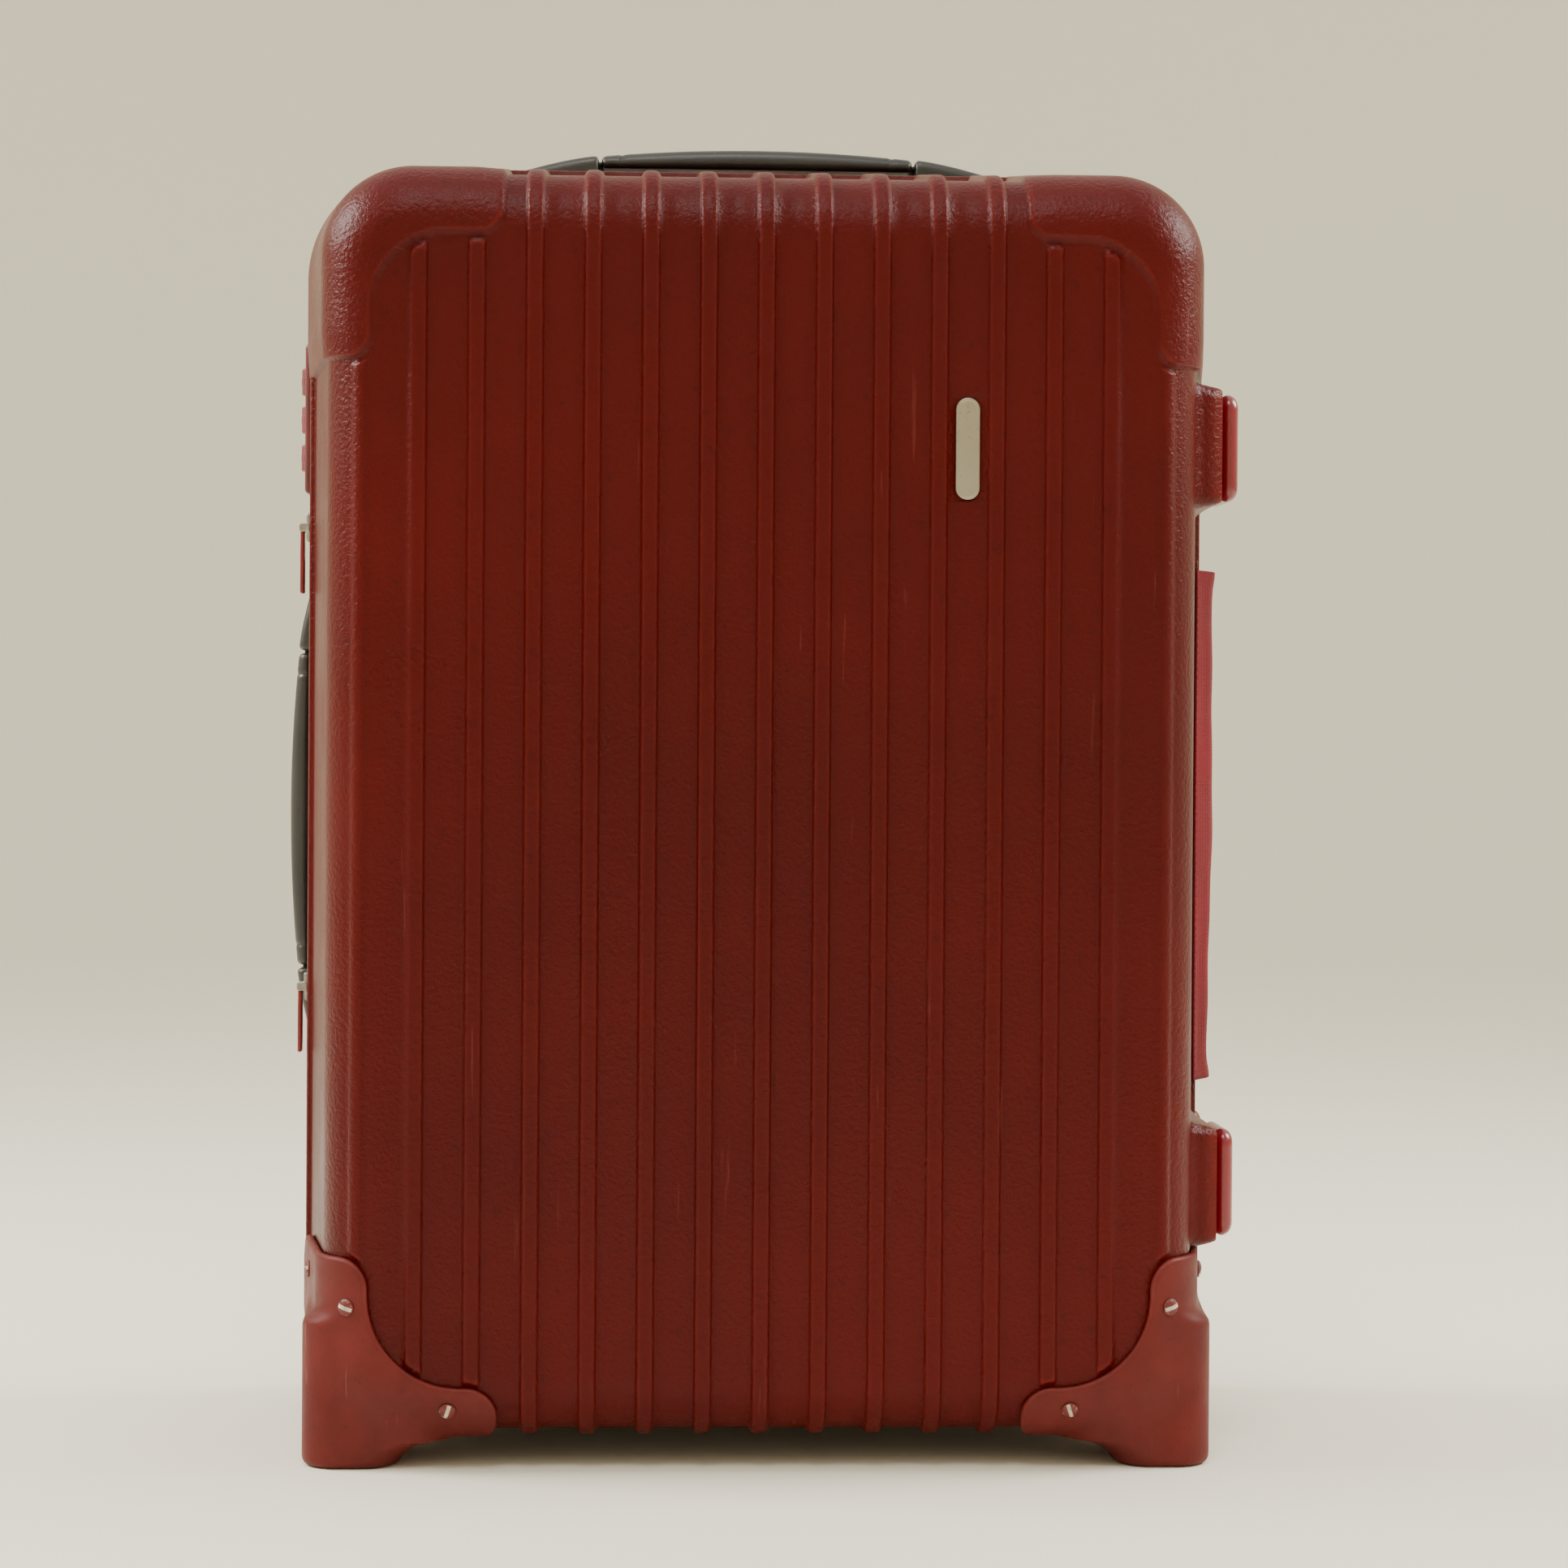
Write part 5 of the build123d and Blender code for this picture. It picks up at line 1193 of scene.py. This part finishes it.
def hinge_seams(node, line, levels, facing, form, paint, body):
    """Two rows of stitches where the flap is sewn to the wall, and frayed threads at its ends."""
    made = []
    for number, y in enumerate((0.0285, 0.0320), start=1):
        x = form.half - form.lean * (y - SHELL_LIP) + 0.0009 + CLOTH / 2
        z = np.arange(levels[0] + 0.004, levels[-1] - 0.003, STITCH_PITCH)
        centres = np.stack([np.full(len(z), x), np.full(len(z), facing * y), z], 1)
        mesh = beads(f"{node}_stitches_{number}", centres, (1.0, 0.0, 0.0), (0.0, 1.0, 0.0),
                     (THREAD_RADIUS, THREAD_RADIUS * 1.2, STITCH_LENGTH / 2))
        made.append(add_piece(f"{node}_stitches_{number}", mesh, paint["thread"], body))
    rng = np.random.default_rng(11)
    ends, ways = [], []
    for z, way in ((levels[0], -1), (levels[-1], 1)):
        for _ in range(16):
            y = rng.uniform(0.0255, 0.0335)
            x = form.half - form.lean * (y - SHELL_LIP) + 0.0009
            tilt = rng.normal(size=3) * (0.10, 0.35, 0.0)
            ways.append(np.array([0, 0, way]) + tilt)
            ends.append((x, facing * y, z + way * 0.0012))
    ways = np.array(ways) / np.linalg.norm(ways, axis=1)[:, None]
    across = np.cross(ways, (1.0, 0.0, 0.0))
    across /= np.linalg.norm(across, axis=1)[:, None]
    mesh = beads(f"{node}_fray", np.array(ends), ways, across, (0.0028, 0.00018, 0.00018))
    made.append(add_piece(f"{node}_fray", mesh, paint["thread"], body))
    return made


# ---------------------------------------------------------------- wheels and their housings
def wheels(paint):
    for name in ("left", "right"):
        low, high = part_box(f"tyre_{name}")
        middle = (low + high) / 2
        radius, half = (high.z - low.z) / 2, (high.x - low.x) / 2

        def polar(x, y, z):
            return np.hypot(y - middle.y, z - middle.z), np.abs(x - middle.x)

        def tyre(x, y, z):
            out, across = polar(x, y, z)
            tread = box_field([out - radius, across - half], 0.004)
            tread = blend_max(tread, 0.0185 - out, 0.0005)
            grooves = np.hypot(np.abs(across - 0.0035), out - radius) - 0.0006
            shoulder = np.hypot(across - half, out - 0.0222) - 0.0005
            return blend_max(tread, -np.minimum(grooves, shoulder), 0.0004)

        def hub(x, y, z):
            out, across = polar(x, y, z)
            rim = np.maximum(slab(out, 0.0152, 0.0184), across - half + 0.0004)
            core = np.maximum(slab(out, 0.0081, 0.0100), across - half + 0.0004)
            turn = np.arctan2(z - middle.z, y - middle.y)
            arm = np.abs((turn * 6 / (2 * math.pi)) % 1 - 0.5) * out * 2 * math.pi / 6
            web = np.maximum(slab(out, 0.0036, 0.016), across - 0.0016)
            ribs = np.maximum(np.maximum(slab(out, 0.009, 0.016), across - 0.0068), arm - 0.0009)
            return blend_min(blend_min(rim, core, 0.001), blend_min(web, ribs, 0.001), 0.001)

        mesh = sculpt(f"tyre_{name}", low, high, 0.0006, tyre)
        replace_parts(add_piece(f"tyre_{name}_tread", mesh, paint["tyre"], f"wheel_{name}"), f"tyre_{name}")
        mesh = sculpt(f"hub_{name}", *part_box(f"wheel_hub_{name}"), 0.0005, hub)
        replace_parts(add_piece(f"wheel_hub_{name}_spoked", mesh, paint["hub"], f"wheel_{name}"),
                    f"wheel_hub_{name}")


def wheel_housings(form, paint):
    for name in ("left", "right"):
        low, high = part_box(f"wheel_housing_{name}")
        tyre_low, tyre_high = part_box(f"tyre_{name}")
        middle = (tyre_low + tyre_high) / 2
        arch = tyre_high.z - middle.z + 0.0035
        gap = (tyre_high.x - tyre_low.x) / 2 + 0.003
        outer = (high.x - low.x) / 2

        def field(x, y, z):
            across = np.abs(x - middle.x)
            block = box_field([across - outer, low.y - y, z - high.z], 0.002)
            corner = blend_max(block, form.distance(x, y, z) - 0.0014, 0.002)
            up = z - middle.z
            cheek = np.hypot(y - middle.y, up - np.clip(up, 0, 0.019)) - 0.013
            cheek = blend_max(cheek, across - outer, 0.0015)
            body = blend_min(corner, cheek, 0.003)
            round_out = np.hypot(y - middle.y, up) - arch
            below = np.maximum(np.abs(y - middle.y) - arch, up)
            behind = np.maximum(middle.y - y, up - arch)
            cavity = np.maximum(across - gap, np.minimum(round_out, np.minimum(below, behind)))
            head = np.maximum(np.hypot(y - middle.y, up) - 0.0058, outer - 0.0021 - across)
            return blend_max(body, -np.minimum(cavity, head), 0.0009)

        mesh = sculpt(f"housing_{name}", low, high, 0.0008, field)
        piece = add_piece(f"wheel_arch_{name}", mesh, paint["black_plastic"], "case_back")
        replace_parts(piece, f"wheel_housing_{name}")


# ---------------------------------------------------------------- trolley handle
def trolley(form, paint):
    low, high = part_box("trolley_housing")
    grip_low, grip_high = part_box("trolley_grip_lower")
    upper_low, upper_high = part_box("trolley_grip_upper")
    tube_low, tube_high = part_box("outer_tubes")
    button_low, button_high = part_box("trolley_button")
    middle_y = (tube_low.y + tube_high.y) / 2
    tube_x = tube_high.x - 0.011

    def cup(x, y, z):
        block = box_field([np.abs(x) - high.x, low.y - y, low.z - z], 0.0015)
        body = blend_max(block, form.distance(x, y, z) - 0.0014, 0.0025)
        recess = box_field([np.abs(x) - grip_high.x - 0.003, grip_low.y - 0.003 - y, grip_low.z - 0.003 - z], 0.003)
        holes = box_field([np.abs(np.abs(x) - tube_x) - 0.0112, np.abs(y - middle_y) - 0.0072], 0.003)
        return blend_max(body, -np.minimum(recess, holes), 0.0012)

    mesh = sculpt("trolley_cup", low, high, 0.0009, cup)
    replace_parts(add_piece("trolley_cup", mesh, paint["black_plastic"], "case_back"),
                "trolley_housing")

    def grip_plan(x, y):
        return box_field([np.abs(x) - grip_high.x + 0.0001, np.abs(y - middle_y) - 0.0109], 0.0095)

    def lower(x, y, z):
        return blend_max(grip_plan(x, y), slab(z, grip_low.z, grip_high.z - 0.0001), 0.0015)

    def upper(x, y, z):
        top = blend_max(grip_plan(x, y), z - upper_high.z, 0.008)
        body = blend_max(top, upper_low.z + 0.0001 - z, 0.0012)
        well = box_field([np.abs(x) - button_high.x - 0.0003, np.abs(y - middle_y) - 0.0063, button_low.z - 0.003 - z],
                         0.003)
        return blend_max(body, -well, 0.0008)

    def button(x, y, z):
        plan = box_field([np.abs(x) - button_high.x, np.abs(y - middle_y) - 0.006], 0.0038)
        plate = blend_max(plan, slab(z, button_low.z, button_high.z), 0.0012)
        dents = np.hypot(((x + 0.002) % 0.004) - 0.002, z - button_high.z) - 0.0004
        return blend_max(plate, -np.maximum(dents, np.abs(x) - 0.014), 0.0003)

    grip = add_piece("trolley_grip_under", sculpt("grip_lower", grip_low, grip_high, 0.0008, lower),
                     paint["black_plastic"], "trolley_inner")
    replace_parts(grip, "trolley_grip_lower")
    grip = add_piece("trolley_grip_top", sculpt("grip_upper", upper_low, upper_high, 0.0008, upper),
                     paint["black_plastic"], "trolley_inner")
    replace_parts(grip, "trolley_grip_upper")
    press = add_piece("trolley_press", sculpt("button", button_low, button_high, 0.0005, button),
                      paint["button"], "trolley_release")
    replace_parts(press, "trolley_button")


# ---------------------------------------------------------------- cloth inside
def keep_clear(points, boxes):
    """Moves cloth out of the fittings that it goes round, towards each fitting's open faces."""
    for low, high, ways in boxes:
        deep = []
        for axis, side in ways:
            face = low[axis] if side < 0 else high[axis]
            deep.append((points[..., axis] - face) * (-side))
        inside = np.ones(points.shape[:-1], bool)
        for axis in range(3):
            inside &= (points[..., axis] > low[axis]) & (points[..., axis] < high[axis])
        choice = np.argmin(np.stack(deep), 0)
        for number, (axis, side) in enumerate(ways):
            moved = inside & (choice == number)
            points[..., axis][moved] = (low[axis] if side < 0 else high[axis])
    return points


def lining(form, facing, node, body, depth, boxes, seed, paint):
    """Loose cloth tray fixed round the rim."""
    cloth_form = HalfForm(node.replace("lining", "shell"), facing)
    cloth_form.depth = depth
    cloth_form.set_lean()
    columns = spread((-cloth_form.core_x, cloth_form.core_x, 0.005))
    levels = spread((cloth_form.core_low(depth), cloth_form.core_top, 0.005))

    def lay(points, normals, sink):
        loose = ease(np.abs(points[..., 1]), SHELL_LIP + 0.004, SHELL_LIP + 0.03)
        folds = 0.0009 * ripple(points, 0.06, seed) + 0.0005 * ripple(points, 0.023, seed + 1)
        moved = points - normals * (0.0034 + sink + loose * (0.0013 + folds))[..., None]
        return keep_clear(moved, [grown(b, 0.0012 + sink) for b in boxes])

    mesh = tray(node, cloth_form, columns, levels, 14, 0.004, 0.002,
                lambda p, n: lay(p, n, 0.0), lambda p, n: lay(p, n, 0.0008))
    piece = add_piece(f"{node}_cloth", mesh, paint["lining"], body)
    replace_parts(piece, node)


def grown(box, by):
    low, high, ways = box
    return [v - by for v in low], [v + by for v in high], ways


def linings(front, back, paint):
    lining(front, -1, "front_lining", "lid", front.depth, [], 21, paint)
    boxes = []
    for name in ("left", "right"):
        low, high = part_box(f"wheel_housing_{name}")
        inward = 1 if name == "left" else -1
        boxes.append((list(low), list(high), [(1, -1), (2, 1), (0, inward)]))
    low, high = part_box("trolley_housing")
    boxes.append((list(low), list(high), [(1, -1), (2, -1)]))
    low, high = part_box("lock_body")
    boxes.append((list(low), list(high), [(0, 1)]))
    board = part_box("tube_board")[0].y
    lining(back, 1, "back_lining", "case_back", board + 0.0022, boxes, 31, paint)


def pocket(form, paint):
    """Stitched pocket with a gathered elastic top on the front lining."""
    low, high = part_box("lid_pocket")
    x = np.linspace(low.x, high.x, 90)
    z = np.linspace(low.z, high.z, 80)
    gx, gz = np.meshgrid(x, z, indexing="ij")
    share = (gz - low.z) / (high.z - low.z)
    edge = np.minimum(gx - low.x, high.x - gx)
    belly = ease(edge, 0, 0.03) * ease(gz - low.z, 0, 0.03)
    gathers = 0.0009 * np.sin(gx * 2 * math.pi / 0.0105) * ease(share, 0.55, 1.0)
    out = belly * (0.0045 + 0.0015 * ripple(np.stack([gx, gx * 0, gz], -1), 0.07, 5)) + gathers + 0.0004
    base = low.y + 0.0012
    grid = np.stack([gx, base + out + 0.0006, gz], -1)
    mesh = slab_sheet("pocket", grid, grid + np.array([0, 0.0006, 0]))
    piece = add_piece("lid_pocket_mesh", mesh, paint["pocket"], "lid")
    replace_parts(piece, "lid_pocket")
    top = np.array([(a, base + 0.0014 + 0.0009 * math.sin(a * 2 * math.pi / 0.0105), high.z - 0.004)
                    for a in np.linspace(low.x, high.x, 240)])
    hem = ribbon("lid_pocket_hem", top, 0.0065, 0.0016, (0, 0, 1))
    hem = add_piece("lid_pocket_hem", hem, paint["webbing"], "lid")
    for name, spots in (("left", ((low.x, low.z), (low.x, high.z))), ("right", ((high.x, low.z), (high.x, high.z))),
                        ("bottom", ((low.x, low.z), (high.x, low.z)))):
        (ax, az), (bx, bz) = spots
        line = np.array([(ax + (bx - ax) * t, base + 0.0006, az + (bz - az) * t) for t in np.linspace(0, 1, 60)])
        way = (0, 0, 1) if name == "bottom" else (1, 0, 0)
        add_piece(f"lid_pocket_binding_{name}", ribbon(f"binding_{name}", line, 0.004, 0.0014, way),
                               paint["webbing"], "lid")


def ribbon(name, line, half_width, thickness, way):
    """A band with rounded edges along a line; way is its width's direction."""
    way = np.array(way, float)
    along = np.gradient(line, axis=0)
    along /= np.linalg.norm(along, axis=1)[:, None]
    across = way - along * (along @ way)[:, None]
    across /= np.linalg.norm(across, axis=1)[:, None]
    face = np.cross(along, across)
    loop = rounded_loop(half_width, thickness / 2, thickness * 0.45)
    rings = np.array([line[:, :] + across * u + face * v for u, v in loop]).transpose(1, 0, 2)
    return capped_tube(name, rings)


def packing_straps(paint):
    """Four webbing straps from the corners to the snap buckle."""
    low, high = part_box("packing_straps")
    socket_low, socket_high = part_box("buckle_socket")
    tongue_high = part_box("buckle_tongue")[1]
    middle_z = (socket_low.z + socket_high.z) / 2
    first = None
    for side, rise in itertools.product((-1, 1), (-1, 1)):
        start = np.array((side * (tongue_high.x - 0.003), low.y + 0.0002, middle_z + rise * 0.004))
        end = np.array((side * (high.x - 0.010), low.y + 0.0004, middle_z + rise * ((high.z - low.z) / 2 - 0.012)))
        t = np.linspace(0, 1, 60)[:, None]
        line = start + (end - start) * t
        line[:, 1] -= 0.0011 * np.sin(math.pi * t[:, 0]) * (1 + 0.6 * np.sin(9 * t[:, 0] + side))
        way = np.array([-(end - start)[2], 0, (end - start)[0]])
        mesh = ribbon("strap", line, 0.0122, 0.0014, way / np.linalg.norm(way))
        name = f"packing_strap_{'right' if side > 0 else 'left'}_{'upper' if rise > 0 else 'lower'}"
        piece = add_piece(name, mesh, paint["webbing"], "case_back")
        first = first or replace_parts(piece, "packing_straps")


def buckle(paint):
    for node, side in (("buckle_socket", -1), ("buckle_tongue", 1)):
        low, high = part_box(node)
        middle_y, middle_z = (low.y + high.y) / 2, (low.z + high.z) / 2

        def field(x, y, z):
            along = np.abs(x)
            half = 0.017 - 0.003 * ease(along, 0.016, 0.026)
            body = box_field([slab(x * side, 0.0001, high.x if side > 0 else -low.x), np.abs(y - middle_y) - 0.0029,
                              np.abs(z - middle_z) - half], 0.0018)
            bar = box_field([np.abs(along - 0.0195) - 0.0018, np.abs(z - middle_z) - 0.0125], 0.001)
            grips = np.hypot(((z + 0.001) % 0.003) - 0.0015, y - low.y) - 0.0006
            grips = np.maximum(grips, slab(along, 0.004, 0.014))
            return blend_max(body, -np.minimum(bar, grips), 0.0006)

        mesh = sculpt(node, low, high, 0.0005, field)
        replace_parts(add_piece(f"{node}_moulded", mesh, paint["black_plastic"], "case_back"), node)


# ---------------------------------------------------------------- CAD nodes that show as they are
def finish_cad_nodes(paint):
    kept = {
        "wheel_axles": "bearing", "wheel_bearings_left": "bearing", "wheel_bearings_right": "bearing",
        "housing_screws": "keyed_metal", "handle_screws": "keyed_metal", "dial_shaft": "bearing",
        "tube_board": "board", "tube_foot_bracket": "black_plastic", "outer_tubes": "tube",
        "middle_tubes": "tube", "inner_tubes": "tube",
    }
    for node, finish in kept.items():
        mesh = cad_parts[node].data
        mesh.materials.clear()
        mesh.materials.append(paint[finish])


# ---------------------------------------------------------------- floor, light and camera
def plain_material(name, colour, roughness):
    made = bpy.data.materials.new(name)
    made.use_nodes = True
    shader = made.node_tree.nodes["Principled BSDF"]
    shader.inputs["Base Color"].default_value = colour + (1.0,)
    shader.inputs["Roughness"].default_value = roughness
    shader.inputs["Specular IOR Level"].default_value = 0.2
    return made


def stage_floor():
    """Pale floor that sweeps up into a pale wall all round, far from the case."""
    flat, bend, height = 3.6, 2.2, 5.0
    turns = np.linspace(0, 2 * math.pi, 121)
    sweep = np.linspace(0, math.pi / 2, 24)
    radii = np.concatenate([[0.0, 1.0, 2.2], flat + bend * np.sin(sweep), [flat + bend]])
    levels = np.concatenate([[0, 0, 0], bend * (1 - np.cos(sweep)), [height]])
    points = np.stack([radii * np.cos(turns)[:, None], radii * np.sin(turns)[:, None],
                       levels * np.ones((len(turns), 1))], -1)
    mesh = join_grids("floor", [(points, False)])
    mesh.materials.append(plain_material("floor_pale", FLOOR_COLOUR, 0.75))
    mesh.shade_smooth()
    floor = bpy.data.objects.new("floor", mesh)
    bpy.context.scene.collection.objects.link(floor)


def area_light(name, place, size, power, colour, target=(0, 0, 0.27)):
    light = bpy.data.lights.new(name, "AREA")
    light.shape, light.size, light.energy, light.color = "DISK", size, power, colour
    lamp = bpy.data.objects.new(name, light)
    lamp.location = place
    lamp.rotation_euler = (Vector(target) - Vector(place)).to_track_quat("-Z", "Y").to_euler()
    bpy.context.scene.collection.objects.link(lamp)


def lights():
    world = bpy.data.worlds.new("studio")
    bpy.context.scene.world = world
    world.use_nodes = True
    sky = world.node_tree.nodes["Background"]
    sky.inputs["Color"].default_value = (1.0, 0.97, 0.88, 1)
    sky.inputs["Strength"].default_value = 1.25
    area_light("left_box", (-1.4, 0.10, 1.2), 0.7, 34, (1.0, 0.96, 0.92), (-0.15, -0.05, 0.45))
    area_light("right_box", (1.4, 0.10, 1.2), 0.7, 26, (1.0, 0.96, 0.92), (0.15, -0.05, 0.45))
    area_light("overhead", (-0.2, -1.3, 2.6), 0.9, 22, (1.0, 0.97, 0.92))


def camera():
    data = bpy.data.cameras.new("camera")
    data.sensor_width, data.lens = SENSOR, LENS
    eye = bpy.data.objects.new("camera", data)
    ahead = Vector((math.sin(CAMERA_TURN) * math.cos(CAMERA_TILT), math.cos(CAMERA_TURN) * math.cos(CAMERA_TILT),
                    math.sin(CAMERA_TILT)))
    right = Vector((math.cos(CAMERA_TURN), -math.sin(CAMERA_TURN), 0))
    up = right.cross(ahead)
    rolled_right = right * math.cos(CAMERA_ROLL) - up * math.sin(CAMERA_ROLL)
    rolled_up = right * math.sin(CAMERA_ROLL) + up * math.cos(CAMERA_ROLL)
    turned = Matrix((rolled_right, rolled_up, -ahead)).transposed().to_4x4()
    eye.matrix_world = Matrix.Translation(CAMERA_PLACE) @ turned
    bpy.context.scene.collection.objects.link(eye)
    bpy.context.scene.camera = eye


def main():
    paint = make_materials()
    front, back = HalfForm("front_shell", -1), HalfForm("back_shell", 1)
    front_shell(front, paint)
    back_shell(back, paint)
    boots(front, paint)
    boot_screws(front, paint)
    badge(paint)
    bumper_feet(paint)
    carry_handles(paint)
    lock(paint)
    zip_tapes(front, paint)
    zip_sliders(paint)
    fabric_hinge(front, paint)
    wheels(paint)
    wheel_housings(back, paint)
    trolley(back, paint)
    linings(front, back, paint)
    pocket(front, paint)
    packing_straps(paint)
    buckle(paint)
    finish_cad_nodes(paint)
    stage_floor()
    lights()
    camera()


main()
